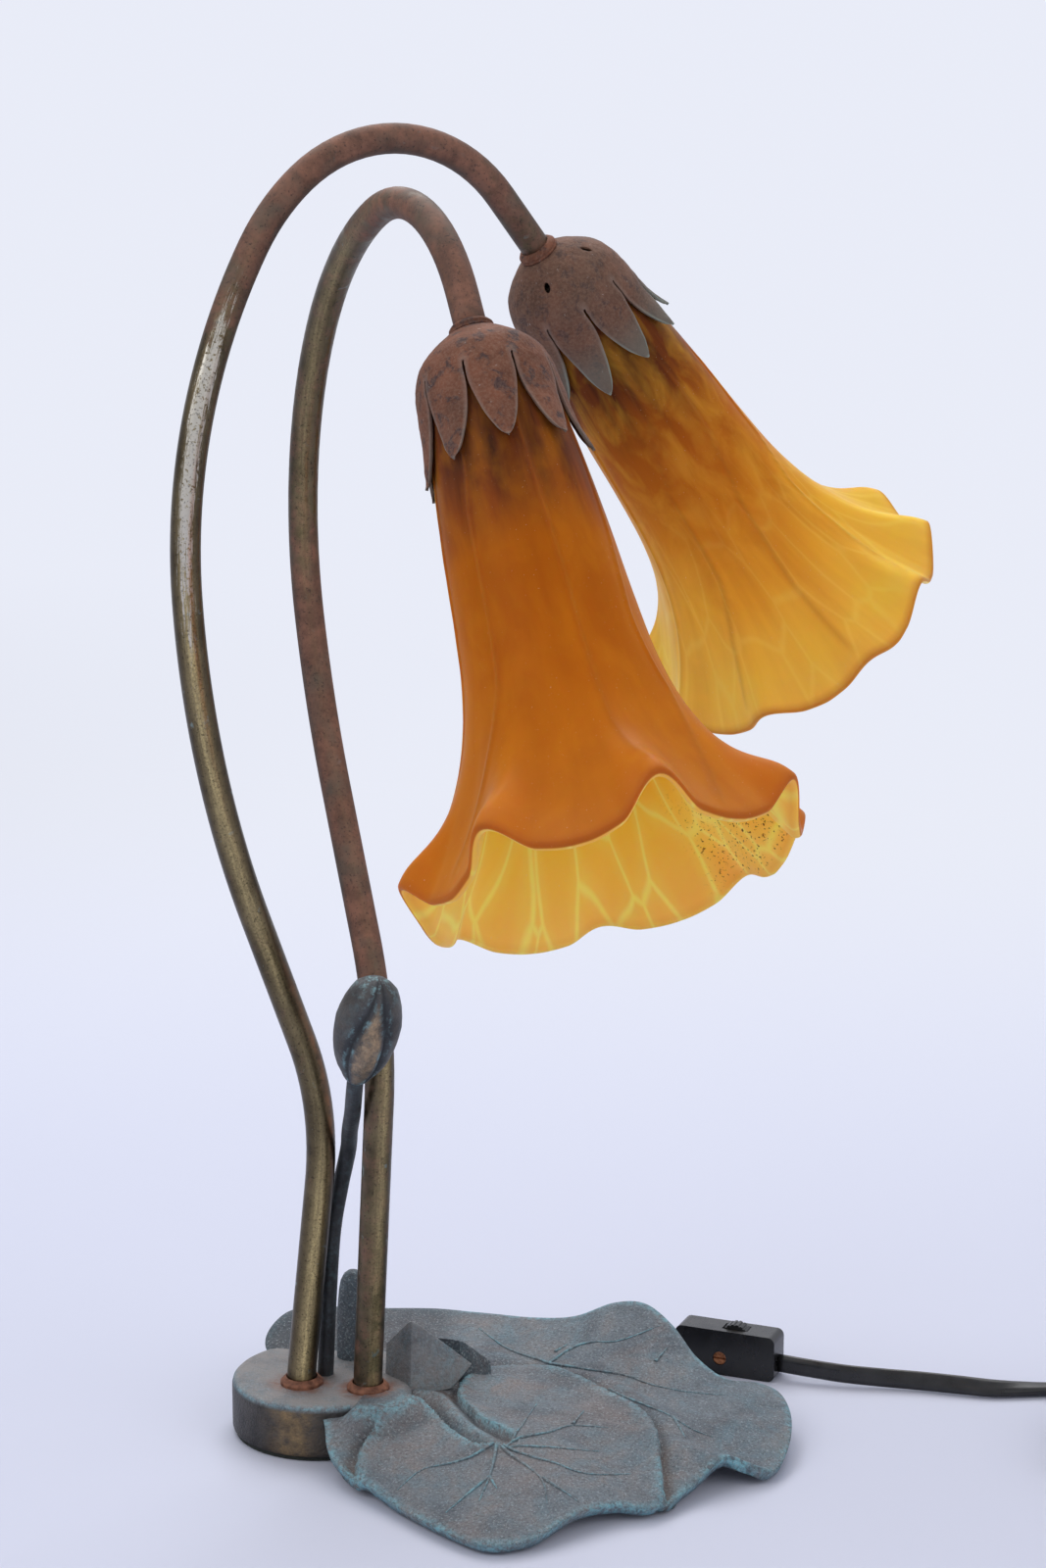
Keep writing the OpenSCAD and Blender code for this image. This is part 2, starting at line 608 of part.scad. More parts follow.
module bulb_back_glass() at_back_end() bulb_glass();
module bulb_back_cap() at_back_end() bulb_cap();
module bulb_back_tip() at_back_end() bulb_tip();
module bulb_front_glass() at_front_end() bulb_glass();
module bulb_front_cap() at_front_end() bulb_cap();
module bulb_front_tip() at_front_end() bulb_tip();

// ---------------------------------------------------------------- wiring

// Two insulated wires side by side, from the terminal block up to the socket
module wires(foot, turn, bends, side, reach) color("#cfc7b4") {
    lead = [[0, reach], [wire_bend, -side * 90]];
    path = concat(lead, bends, [[0, well_top - eps]]);
    translate([foot[0], foot[1], stem_low - wire_bend]) rotate([0, 0, turn])
        translate([-side * (reach + wire_bend), 0, 0])
            for (s = [-1, 1]) rod(path, wire_r, 6, side * 90, s * (wire_r + 0.03));
}

module wires_back() wires(back_foot, back_turn, back_bends, -1, norm(block_mid - back_foot) - block_r - wire_bend);

module wires_front() wires(front_foot, front_turn, front_bends, 1, norm(block_mid - front_foot) - block_r - wire_bend);

module terminal_block() color("#d8d2c0") translate([block_mid[0], block_mid[1], felt_t + fit]) difference() {
    cylinder(r = block_r, h = 6.4);
    for (s = [-1, 1]) translate([s * 2.6, 0, 4.4]) cylinder(r = 1.5, h = 3);
}

module plinth_leads() color("#22201e") {
    from = plinth_d / 2 - plinth_wall - 0.1;
    to = [block_mid[0] - 3.1, block_mid[1] + block_r + 0.3];
    for (s = [-1, 1]) skin([for (p = [[0, from, cord_z], [0.6, from - 5.5, 6],
            [to[0] / 2, (from - 5.5 + to[1]) / 2, 5.2], [to[0], to[1], 4.7]])
        [for (k = [0 : 5]) p + [s * 1.5 + wire_r * cos(k * 60), 0, -wire_r * sin(k * 60)]]]);
}

module cord_gland() color("#181818") translate([0, plinth_d / 2, cord_z]) rotate([-90, 0, 0]) {
    translate([0, 0, -plinth_wall]) cylinder(r = 5.5, h = plinth_wall);
    cylinder(r = 7 - 0.8, h = 1.6);
    rotate_extrude() polygon([[0, 1.5], [5.2, 1.5], [3.9, gland_len], [0, gland_len]]);
}

// ---------------------------------------------------------------- cord

function spline(p, u) = let (
        n = len(p),
        i = min(floor(u), n - 2),
        f = u - i,
        b = p[i],
        c = p[i + 1],
        a = i == 0 ? 2 * b - c : p[i - 1],
        d = i == n - 2 ? 2 * c - b : p[i + 2]
    ) 0.5 * (2 * b + (c - a) * f + (2 * a - 5 * b + 4 * c - d) * f * f
        + (3 * b - a - 3 * c + d) * f * f * f);

// Outline of the flat twin cord, [across its thickness, across its width]
oval = [[0, 1], [0.66, 0.9], [1, 0.55], [1, -0.55], [0.66, -0.9], [0, -1], [-0.66, -0.9], [-1, -0.55],
    [-1, 0.55], [-0.66, 0.9]];
hex_oval = [[0, 1], [1, 0.6], [1, -0.6], [0, -1], [-1, -0.6], [-1, 0.6]];

// Ring of points round c, square to heading h, turned by a from standing on edge
function cord_ring(c, h, a, outline) = let (
        t = h / norm(h),
        side = cross(t, [0, 0, 1]) / norm(cross(t, [0, 0, 1])),
        up = cross(side, t)
    ) [for (o = outline) let (
        x = o[0] * cord_t / 2,
        y = o[1] * cord_w / 2
    ) c + side * (x * cos(a) - y * sin(a)) + up * (x * sin(a) + y * cos(a))];

module stretch(route, first, last) color("#141414") {
    n = (len(route) - 1) * 2;
    skin([for (i = [0 : n]) let (
            u = i / 2,
            p = spline(route, u),
            q = spline(route, min(u + 0.05, len(route) - 1)),
            o = spline(route, max(u - 0.05, 0)),
            h = i == 0 ? first : i == n ? last : [q[0] - o[0], q[1] - o[1], q[2] - o[2]]
        ) cord_ring([p[0], p[1], p[2]], h, p[3], oval)]);
}

module cord_lead() stretch(lead_route, [0, 1, 0], [switch_way[0], switch_way[1], 0]);

module cord_run() stretch(run_route, [switch_way[0], switch_way[1], 0], [1, 0, 0]);

module cord_tail() stretch(tail_route, [0, -1, 0], [0, -1, 0]);

// Centre of the coil's cord after n turns: in at a steady rate, up a layer, and out again
function coil_point(n) = let (
        a = 90 - 360 * n,
        r = coil_r - coil_pitch * (n < coil_in ? n : 2 * coil_in - n),
        up = ease((n - coil_in + 0.125) / 0.25)
    ) [coil_mid[0] + r * cos(a), coil_mid[1] + r * sin(a), coil_z + coil_rise * up];

coil_turns = coil_in + coil_out;
coil_steps = round(coil_turns * coil_rings);
coil_path = concat([[coil_mid[0] - 8, coil_mid[1] + coil_r, coil_z]],
    [for (i = [0 : coil_steps]) coil_point(i / coil_rings)],
    [[plug_mid[0], coil_mid[1] - 8, coil_z + coil_rise]]);

// Least gap between turns: side by side in a layer, or one layer on the other
coil_gap = min([for (i = [0 : coil_steps - coil_rings], j = [i + coil_rings - 3 : coil_steps]) let (
        p = coil_point(i / coil_rings),
        q = coil_point(j / coil_rings),
        flat = norm([p[0] - q[0], p[1] - q[1]]) - cord_t,
        high = abs(p[2] - q[2]) - cord_w
    ) max(flat, high)]);

module cord_coil() color("#161616") {
    echo(coil_gap = coil_gap);
    n = len(coil_path);
    skin([for (i = [0 : n - 1]) let (
            h = i == 0 ? [1, 0, 0] : i == n - 1 ? [0, -1, 0] : coil_path[i + 1] - coil_path[i - 1]
        ) cord_ring(coil_path[i], [h[0], h[1], 0], 0, hex_oval)]);
}

module coil_tie() color("#222222") {
    in_r = coil_r - coil_pitch * coil_in - cord_t / 2 - 0.6;
    out_r = coil_r + cord_t / 2 + 0.6;
    low = coil_z - cord_w / 2 - 0.2;
    high = coil_z + coil_rise + cord_w / 2 + 0.4;
    translate([coil_mid[0], coil_mid[1], 0]) rotate([0, 0, 215]) difference() {
        translate([in_r - 0.8, -4, low - 0.7]) cube([out_r - in_r + 1.6, 8, high - low + 1.5]);
        translate([in_r, -5, low]) cube([out_r - in_r, 10, high - low]);
    }
}

// ---------------------------------------------------------------- switch

module rounded_plate(w, h, r, t) {
    linear_extrude(t) {
        translate([r, 0]) square([w - 2 * r, h]);
        translate([0, r]) square([w, h - 2 * r]);
        for (x = [r, w - r], y = [r, h - r]) translate([x, y]) circle(r = r);
    }
}

module at_switch() translate([switch_mid[0], switch_mid[1], 0]) rotate([0, 0, switch_turn]) children();

// Half of the case, standing on its long edge, from the split face towards -Y
module switch_half() {
    translate([-switch_len / 2, 0, 0]) rotate([90, 0, 0])
        rounded_plate(switch_len, switch_h, 2.4, switch_t / 2);
}

module wheel_space(r, t) {
    translate([wheel_x, t / 2, wheel_z]) rotate([90, 0, 0]) cylinder(r = r, h = t);
}

module screw_hole(r) {
    translate([screw_x, switch_t, screw_z]) rotate([90, 0, 0]) cylinder(r = r, h = 2 * switch_t);
}

module contact_space() {
    for (x = [4 - switch_len / 2, switch_len / 2 - 6.2]) translate([x, -3, switch_h / 2 - 3]) cube([2.2, 6, 6]);
}

module switch_case_front() color("#101010") at_switch() difference() {
    switch_half();
    wheel_space(wheel_d / 2 + seat + 0.1, wheel_t + 2 * seat);
    screw_hole(1.3 + fit);
    translate([screw_x, 1.6 - switch_t / 2, screw_z]) rotate([90, 0, 0]) cylinder(r = 2.4, h = 2);
    contact_space();
}

module switch_case_rear() color("#101010") at_switch() {
    difference() {
        mirror([0, 1, 0]) switch_half();
        wheel_space(wheel_d / 2 + seat + 0.1, wheel_t + 2 * seat);
        screw_hole(1.3 + fit);
        contact_space();
    }
    translate([wheel_x, wheel_t / 2 + seat + eps, wheel_z]) rotate([90, 0, 0])
        cylinder(r = 1.4, h = wheel_t + 2 * seat);
}

module switch_screw() color("#a8683f") at_switch() {
    translate([screw_x, 1.6 - switch_t / 2, screw_z]) rotate([90, 0, 0]) difference() {
        cylinder(r = 2.3, h = 1.3);
        translate([-3, -0.35, 0.7]) cube([6, 0.7, 1]);
    }
    translate([screw_x, switch_t / 2 - 0.6, screw_z]) rotate([90, 0, 0]) cylinder(r = 1.3, h = switch_t - 2.2 + eps);
}

module switch_contacts() color("#c2a255") at_switch() for (x = [4.4 - switch_len / 2, switch_len / 2 - 5.8])
    translate([x, -3, switch_h / 2 - 3]) cube([1.2, 6, 6]);

module switch_wheel() color("#1a1a1a") at_switch() difference() {
    translate([wheel_x, wheel_t / 2, wheel_z]) rotate([90, 0, 0]) difference() {
        cylinder(d = wheel_d, h = wheel_t);
        for (i = [0 : 19]) rotate([0, 0, i * 18]) translate([wheel_d / 2, 0, -eps])
            cylinder(r = 0.4, h = wheel_t + 2 * eps, $fn = 16);
    }
    wheel_space(1.4 + fit, wheel_t + 1);
}

// ---------------------------------------------------------------- plug

module plug_body() color("#151515") translate([plug_mid[0], plug_mid[1], plug_z]) rotate([90, 0, 0]) {
    rotate_extrude() polygon([[0, 0], [3.6, 0], [5.4, 12], [0, 12]]);
    translate([-plug_w / 2, -plug_t / 2, 11]) rounded_plate(plug_w, plug_t, 4, plug_len - 11);
}

module plug_blades() color("#c8b477") for (s = [-1, 1])
    translate([plug_mid[0] + s * 6.35 - 0.75, plug_mid[1] - plug_len - 15.8, plug_z - 3.15])
        cube([1.5, 15.8, 6.3]);

base_casting();
felt_pads();
stem_back();
stem_front();
foot_collars();
stem_washers();
stem_nuts();
bud();
bud_screw();
neck_collars();
husk_back();
husk_front();
socket_nipples();
socket_back();
socket_front();
screw_shells();
centre_contacts();
shade_rings();
shade_back();
shade_front();
bulb_back_glass();
bulb_back_cap();
bulb_back_tip();
bulb_front_glass();
bulb_front_cap();
bulb_front_tip();
wires_back();
wires_front();
terminal_block();
plinth_leads();
cord_gland();
cord_lead();
switch_case_front();
switch_case_rear();
switch_screw();
switch_contacts();
switch_wheel();
cord_run();
cord_coil();
cord_tail();
coil_tie();
plug_body();
plug_blades();
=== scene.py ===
import bpy
import bmesh
import math
from mathutils import Matrix, Vector, noise


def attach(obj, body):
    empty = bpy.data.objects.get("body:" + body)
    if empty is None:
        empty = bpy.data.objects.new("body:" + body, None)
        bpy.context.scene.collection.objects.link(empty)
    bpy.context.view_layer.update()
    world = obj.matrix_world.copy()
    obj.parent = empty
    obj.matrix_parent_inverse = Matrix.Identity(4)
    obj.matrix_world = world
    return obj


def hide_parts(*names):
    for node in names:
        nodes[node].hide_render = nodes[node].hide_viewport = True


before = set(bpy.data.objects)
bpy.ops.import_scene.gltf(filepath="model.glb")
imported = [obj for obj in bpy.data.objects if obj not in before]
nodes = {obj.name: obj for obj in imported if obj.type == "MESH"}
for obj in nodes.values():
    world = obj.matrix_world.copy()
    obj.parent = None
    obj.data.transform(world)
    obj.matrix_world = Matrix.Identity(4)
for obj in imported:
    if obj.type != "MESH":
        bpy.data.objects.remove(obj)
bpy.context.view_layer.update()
mm = 0.001
ops = bpy.ops

# camera at the photograph's angle, floor and light

cameraValues = {"place": (0.30104, -1.04873, 0.46033), "tilt": 77.5, "turn": 12.5, "lens": 80.21}
photoLens = bpy.data.cameras.new("photoCamera")
photoLens.sensor_width = 36
photoLens.lens = cameraValues["lens"]
photoLens.clip_end = 50
photoCamera = bpy.data.objects.new("photoCamera", photoLens)
photoCamera.location = cameraValues["place"]
photoCamera.rotation_euler = (math.radians(cameraValues["tilt"]), 0, math.radians(cameraValues["turn"]))
bpy.context.collection.objects.link(photoCamera)
bpy.context.scene.camera = photoCamera
bpy.context.scene.view_settings.view_transform = "Standard"


def clearSelection():
    if bpy.context.object and bpy.context.object.mode != "OBJECT":
        ops.object.mode_set(mode="OBJECT")
    ops.object.select_all(action="DESELECT")


def pick(piece):
    clearSelection()
    piece.select_set(True)
    bpy.context.view_layer.objects.active = piece


def added(name):
    piece = bpy.context.object
    piece.name = name
    piece.data.name = name
    return piece


def applyModifier(piece, kind, **values):
    pick(piece)
    modifier = piece.modifiers.new(kind.lower(), kind)
    for key, value in values.items():
        setattr(modifier, key, value)
    ops.object.modifier_apply(modifier=modifier.name)


def settle(piece, matrix=None):
    # puts the piece's place into its mesh, so that its object sits at the origin
    if matrix is not None:
        piece.data.transform(matrix)
    pick(piece)
    ops.object.transform_apply(location=True, rotation=True, scale=True)
    ops.object.shade_smooth()


def facesOutward(piece):
    pick(piece)
    ops.object.mode_set(mode="EDIT")
    ops.mesh.select_all(action="SELECT")
    ops.mesh.normals_make_consistent(inside=False)
    ops.object.mode_set(mode="OBJECT")


def joinPieces(name, parts):
    clearSelection()
    for part in parts:
        part.select_set(True)
    bpy.context.view_layer.objects.active = parts[0]
    ops.object.join()
    return added(name)


def ringStack(name, profile, count, closeStart=False, closeEnd=False, loop=False):
    # a circle that is extruded ring by ring along +Z; profile holds (radius, height) in millimetres
    clearSelection()
    ops.mesh.primitive_circle_add(vertices=count, radius=max(profile[0][0], 0.01) * mm, fill_type="NOTHING")
    piece = added(name)
    piece.data.transform(Matrix.Translation((0, 0, profile[0][1] * mm)))
    ops.object.mode_set(mode="EDIT")
    ops.mesh.select_all(action="SELECT")
    if closeStart:
        ops.mesh.edge_face_add()
        ops.mesh.select_all(action="SELECT")
    for before, after in zip(profile, profile[1:]):
        ops.mesh.extrude_region_move(TRANSFORM_OT_translate={"value": (0, 0, (after[1] - before[1]) * mm)})
        k = max(after[0], 0.01) / max(before[0], 0.01)
        ops.transform.resize(value=(k, k, 1), center_override=(0, 0, after[1] * mm))
    if closeEnd:
        ops.mesh.edge_face_add()
    ops.object.mode_set(mode="OBJECT")
    if loop:
        bridgeEnds(piece, count)
    return piece


def bridgeEnds(piece, count):
    pick(piece)
    ops.object.mode_set(mode="EDIT")
    ops.mesh.select_all(action="DESELECT")
    shell = bmesh.from_edit_mesh(piece.data)
    total = len(shell.verts)
    for edge in shell.edges:
        a, b = edge.verts[0].index, edge.verts[1].index
        edge.select = (a < count and b < count) or (a >= total - count and b >= total - count)
    bmesh.update_edit_mesh(piece.data)
    ops.mesh.bridge_edge_loops()
    ops.object.mode_set(mode="OBJECT")


def pointValues(piece, name, values, kind="FLOAT"):
    layer = piece.data.attributes.new(name, kind, "POINT")
    if kind == "FLOAT":
        layer.data.foreach_set("value", values)
    else:
        layer.data.foreach_set("vector", [c for v in values for c in v])


def pointLayers(piece, **layers):
    for name, values in layers.items():
        pointValues(piece, name, values)


def evenLayers(piece, **layers):
    # the same value on every point
    for name, value in layers.items():
        pointValues(piece, name, [value] * len(piece.data.vertices))


def smoothStep(x):
    x = min(1, max(0, x))
    return x * x * (3 - 2 * x)


def bell(x, wide):
    return math.exp(-(x / wide) ** 2)


def curveBetween(a, b, c, d, f):
    # smooth curve from b to c, led by the points a and d on either side
    return [0.5 * (2 * q + (r - p) * f + (2 * p - 5 * q + 4 * r - s) * f * f + (3 * q - p - 3 * r + s) * f ** 3)
            for p, q, r, s in zip(a, b, c, d)]


def throughPoints(points, u):
    # smooth curve through the points, as in the part's source
    i = min(int(math.floor(u)), len(points) - 2)
    b, c = points[i], points[i + 1]
    a = [2 * x - y for x, y in zip(b, c)] if i == 0 else points[i - 1]
    d = [2 * y - x for x, y in zip(b, c)] if i == len(points) - 2 else points[i + 2]
    return curveBetween(a, b, c, d, u - i)


def sampled(route, steps):
    return [throughPoints(route, i / steps) for i in range((len(route) - 1) * steps + 1)]


def tubeAlong(name, paths, radius, resolution):
    # round tubes along paths of (x, y, z, share of the radius), in metres
    line = bpy.data.curves.new(name, "CURVE")
    line.dimensions = "3D"
    for path in paths:
        spline = line.splines.new("POLY")
        spline.points.add(len(path) - 1)
        for point, (x, y, z, size) in zip(spline.points, path):
            point.co = (x, y, z, 1)
            point.radius = size
    line.bevel_depth = radius
    line.bevel_resolution = resolution
    line.use_fill_caps = True
    tube = bpy.data.objects.new(name, line)
    bpy.context.collection.objects.link(tube)
    pick(tube)
    ops.object.convert(target="MESH")
    return added(name)


# materials: one worker adds the nodes, and shared effects are node groups

class NodeWork:
    # each method adds nodes to the tree and gives back their output
    def __init__(self, tree):
        self.tree = tree

    def feed(self, socket, value):
        if isinstance(value, bpy.types.NodeSocket):
            self.tree.links.new(value, socket)
        else:
            socket.default_value = value

    def add(self, kind, inputs=None, **values):
        node = self.tree.nodes.new("ShaderNode" + kind)
        for key, value in values.items():
            setattr(node, key, value)
        for key, value in (inputs or {}).items():
            self.feed(node.inputs[key], value)
        return node

    def ramp(self, share, stops):
        node = self.add("ValToRGB", {"Fac": share})
        band = node.color_ramp
        while len(band.elements) < len(stops):
            band.elements.new(0.5)
        for element, (place, colour) in zip(band.elements, stops):
            element.position = place
            element.color = (*colour, 1)
        return node.outputs["Color"]

    def mix(self, share, a, b):
        node = self.add("Mix", {0: share}, data_type="RGBA")
        for index, value in ((6, a), (7, b)):
            self.feed(node.inputs[index], (*value, 1) if isinstance(value, tuple) else value)
        return node.outputs[2]

    def sums(self, kind, a, b=0.5, c=0.5, clamp=False):
        return self.add("Math", {0: a, 1: b, 2: c}, operation=kind, use_clamp=clamp).outputs[0]

    def times(self, a, b, clamp=False):
        return self.sums("MULTIPLY", a, b, clamp=clamp)

    def timesPlus(self, a, b, c, clamp=False):
        return self.sums("MULTIPLY_ADD", a, b, c, clamp)

    def remap(self, value, low=0.0, high=1.0, toLow=0.0, toHigh=1.0, kind="LINEAR"):
        inputs = {"Value": value, "From Min": low, "From Max": high, "To Min": toLow, "To Max": toHigh}
        return self.add("MapRange", inputs, interpolation_type=kind).outputs[0]

    def grain(self, scale, detail, rough=0.5, warp=0.0, at=None):
        inputs = {"Vector": self.place if at is None else at, "Scale": scale, "Detail": detail,
                  "Roughness": rough, "Distortion": warp}
        return self.add("TexNoise", inputs).outputs[0]

    def spots(self, scale, low, high, detail=4, rough=0.6, warp=0.0, at=None):
        return self.remap(self.grain(scale, detail, rough, warp, at), low, high)

    def patches(self, amount, scale, detail, rough, soft, at=None):
        # a mask that spreads in ragged patches as the amount rises from 0 to 1
        level = self.timesPlus(amount, 0.62, 0.0)
        reach = self.sums("ADD", self.sums("SUBTRACT", level, self.grain(scale, detail, rough, at=at)), 0.19)
        return self.remap(reach, -soft / 2, soft / 2)

    def layer(self, name, output="Fac"):
        return self.add("Attribute", attribute_name=name).outputs[output]

    def group(self, effect, inputs):
        return self.add("Group", inputs, node_tree=effect).outputs

    def cover(self, mask, colour, amount=None):
        # lays a colour over the base where the mask says, times the amount
        self.base = self.mix(mask if amount is None else self.times(mask, amount), self.base, colour)

    def finish(self, height, strength, distance, roughness=None, metallic=None):
        bump = self.add("Bump", {"Height": height, "Strength": strength, "Distance": distance})
        ends = {
            "Base Color": self.base, "Normal": bump.outputs[0], "Roughness": roughness, "Metallic": metallic}
        for key, value in ends.items():
            if value is not None:
                self.tree.links.new(value, self.shader.inputs[key])
        return self.material


def newGroup(name, inputs, outputs):
    group = bpy.data.node_groups.new(name, "ShaderNodeTree")
    for label, kind, value in inputs:
        socket = group.interface.new_socket(label, in_out="INPUT", socket_type="NodeSocket" + kind)
        if value is not None:
            socket.default_value = value
    for label in outputs:
        group.interface.new_socket(label, in_out="OUTPUT", socket_type="NodeSocketFloat")
    given = group.nodes.new("NodeGroupInput").outputs
    return NodeWork(group), given, group.nodes.new("NodeGroupOutput").inputs


def castSurface():
    # sandy cast skin: fine grain, pits, and a slow cloudiness
    work, given, result = newGroup(
        "castSurface", [("Vector", "Vector", None), ("Scale", "Float", 1.0)], ["Grain", "Pits", "Cloud"])
    place, scale = given["Vector"], given["Scale"]
    work.feed(result["Grain"], work.grain(work.times(scale, 1900), 3, 0.7, at=place))
    pits = work.add("TexVoronoi", {"Vector": place, "Scale": work.times(scale, 900)})
    work.feed(result["Pits"], pits.outputs["Distance"])
    work.feed(result["Cloud"], work.grain(work.times(scale, 55), 5, 0.62, 0.4, place))
    return work.tree


def dustFall():
    # pale dust that settles on what faces up
    work, given, result = newGroup("dustFall", [("Vector", "Vector", None), ("Amount", "Float", 0.5)], ["Mask"])
    facing = work.add("SeparateXYZ", {0: work.add("NewGeometry").outputs["Normal"]}).outputs["Z"]
    drift = work.spots(160, 0.38, 0.66, 6, 0.7, at=given["Vector"])
    both = work.times(work.remap(facing, 0.35, 0.95), drift)
    work.feed(result["Mask"], work.times(both, given["Amount"], clamp=True))
    return work.tree


castGroup = castSurface()
dustGroup = dustFall()


def newMaterial(name, **fixed):
    material = bpy.data.materials.new(name)
    material.use_nodes = True
    work = NodeWork(material.node_tree)
    work.material = material
    work.shader = work.tree.nodes["Principled BSDF"]
    for key, value in fixed.items():
        work.shader.inputs[key.replace("_", " ")].default_value = value
    work.place = work.add("TexCoord").outputs["Object"]
    return work


def verdigrisMaterial():
    work = newMaterial("verdigrisCasting", Metallic=0.1, Roughness=0.72)
    cast = work.group(castGroup, {"Vector": work.place, "Scale": 1.0})
    work.base = work.ramp(
        cast["Cloud"],
        [
            (0.32, (0.085, 0.098, 0.118)), (0.45, (0.122, 0.148, 0.175)), (0.55, (0.152, 0.183, 0.210)),
            (0.68, (0.200, 0.195, 0.200))])
    # pink and blue clouds
    work.cover(work.spots(34, 0.46, 0.66, 5, 0.6, 0.8), (0.245, 0.195, 0.180), 0.55)
    work.cover(work.spots(62, 0.50, 0.68, 6, 0.72, 0.6), (0.125, 0.235, 0.285), 0.5)
    work.cover(work.layer("shadow"), (0.042, 0.047, 0.058), 0.8)
    # painted shade in the gaps under the leaves' edges, beside the petiole and round the sheath
    brown = work.mix(work.spots(30, 0.50, 0.62, 3), (0.120, 0.076, 0.054), (0.050, 0.068, 0.088))
    work.cover(work.layer("hollow"), brown, 0.85)
    # frosted green-blue on the crests
    patch = work.timesPlus(work.spots(48, 0.38, 0.58, 3, 0.6), 0.7, 0.3)
    work.cover(work.layer("crest"), (0.20, 0.45, 0.53), work.times(work.spots(480, 0.38, 0.58, 4, 0.7), patch))
    # dark and pale specks
    work.cover(work.spots(1050, 0.50, 0.64, 3, 0.7), (0.035, 0.038, 0.044), 0.50)
    work.cover(work.spots(1250, 0.54, 0.66, 3, 0.7), (0.46, 0.52, 0.55), 0.42)
    # the plinth's wall is dark bronze, with rubbed brass and a painted sheen on its front
    wall = work.layer("wall")
    bronze = work.mix(work.spots(90, 0.36, 0.62, 5, 0.7), (0.030, 0.029, 0.031), (0.080, 0.075, 0.072))
    rubAndSheenShare = work.times(work.layer("rub"), work.spots(210, 0.30, 0.62, 5, 0.7))
    work.cover(wall, work.mix(rubAndSheenShare, bronze, (0.30, 0.205, 0.105)))
    dust = work.group(dustGroup, {"Vector": work.place, "Amount": 0.12})["Mask"]
    # pale dust, and on the folded leaf a paler colour that is painted light
    dusty = work.times(work.layer("dusty"), work.spots(130, 0.25, 0.55, 5, 0.7))
    work.cover(work.sums("MAXIMUM", dust, dusty), (0.29, 0.265, 0.255), 0.8)
    work.cover(work.layer("rust"), (0.22, 0.115, 0.085), work.spots(300, 0.30, 0.55, 4))
    height = work.sums("ADD", cast["Grain"], work.times(cast["Pits"], 0.6))
    rough = work.remap(wall, toLow=0.74, toHigh=0.42)
    return work.finish(height, 0.7, 0.0006, rough, work.remap(wall, toLow=0.05, toHigh=0.7))


def stemMaterial():
    # the tube's own directions come as attributes: round it and along it
    work = newMaterial("agedBrassTube")
    tube = work.layer("tube", "Vector")
    cloud = work.spots(75, 0.36, 0.66, 6, 0.65)
    work.base = work.mix(cloud, (0.066, 0.050, 0.030), (0.145, 0.112, 0.064))
    rusty = work.patches(work.layer("rustiness"), 190, 5, 0.7, 0.3)
    rust = work.mix(work.spots(120, 0.38, 0.62, 6, 0.72), (0.115, 0.052, 0.032), (0.245, 0.108, 0.066))
    rust = work.mix(work.times(work.spots(46, 0.52, 0.66, 3), 0.6), rust, (0.10, 0.085, 0.062))
    work.cover(rusty, rust)
    work.cover(work.layer("edge"), (0.33, 0.140, 0.065), work.spots(260, 0.30, 0.6, 4))
    streak = work.timesPlus(work.spots(1.1, 0.42, 0.60, 4, 0.6, at=tube), 0.55, 0.75)
    speckle = work.timesPlus(work.spots(1500, 0.40, 0.60, 3, 0.7), 0.45, 0.6)
    # painted highlight: a bright gold streak down the tube, centred where the light would glint
    work.cover(work.times(work.layer("gold"), streak), (0.66, 0.52, 0.25), speckle)
    # painted highlight: pale silvery patches on the side towards the front
    silver = work.patches(work.layer("silver"), 1.5, 6, 0.8, 0.12, at=tube)
    work.cover(silver, (0.70, 0.66, 0.58), work.sums("SUBTRACT", 1.0, work.spots(900, 0.56, 0.64, 3)))
    # painted shade: dark bands down the tube's left and right sides
    work.cover(work.layer("dark"), (0.030, 0.024, 0.018), work.timesPlus(cloud, 0.2, 0.8))
    pit = work.spots(1150, 0.58, 0.66, 3, 0.6)
    work.cover(pit, (0.022, 0.017, 0.014), 0.6)
    clean = work.sums("SUBTRACT", 0.6, work.times(rusty, 0.5))
    work.cover(work.spots(170, 0.66, 0.74, 4, 0.6, 1.2), (0.26, 0.36, 0.36), clean)
    rough = work.timesPlus(rusty, 0.36, 0.33)
    return work.finish(work.sums("ADD", pit, cloud), 0.22, 0.0002, rough, work.timesPlus(rusty, -0.75, 0.85))


def huskMaterial(name, green, rust):
    work = newMaterial(name, Metallic=0.1, Roughness=0.68, Specular_IOR_Level=0.15)
    cloud = work.spots(70, 0.36, 0.66, 6, 0.7)
    dull = work.mix(cloud, (0.085, 0.050, 0.036), (0.185, 0.098, 0.066))
    warm = work.mix(cloud, (0.115, 0.044, 0.026), (0.235, 0.090, 0.052))
    work.base = work.mix(work.patches(rust, 42, 4, 0.6, 0.5), dull, warm)
    # dark blotches, grain and pale flecks
    work.cover(work.spots(250, 0.53, 0.62, 5, 0.62, 0.4), (0.040, 0.031, 0.036), 0.35 + 0.5 * rust)
    grain = work.spots(1100, 0.42, 0.66, 3, 0.7)
    work.cover(grain, (0.34, 0.20, 0.135), 0.30)
    work.cover(work.spots(700, 0.70, 0.76, 2), (0.50, 0.44, 0.40), 0.6)
    # the petals' tips and edges go grey and green
    tip, edge = work.layer("tip"), work.layer("edge")
    greying = work.patches(green, 55, 4, 0.6, 0.5)
    work.cover(work.timesPlus(tip, 0.75, 0.1), (0.155, 0.150, 0.125), greying)
    work.cover(edge, (0.27, 0.40, 0.34), work.times(tip, green))
    work.cover(edge, (0.32, 0.24, 0.20), 0.35)
    return work.finish(work.sums("ADD", work.times(grain, 0.5), cloud), 0.45, 0.0003)


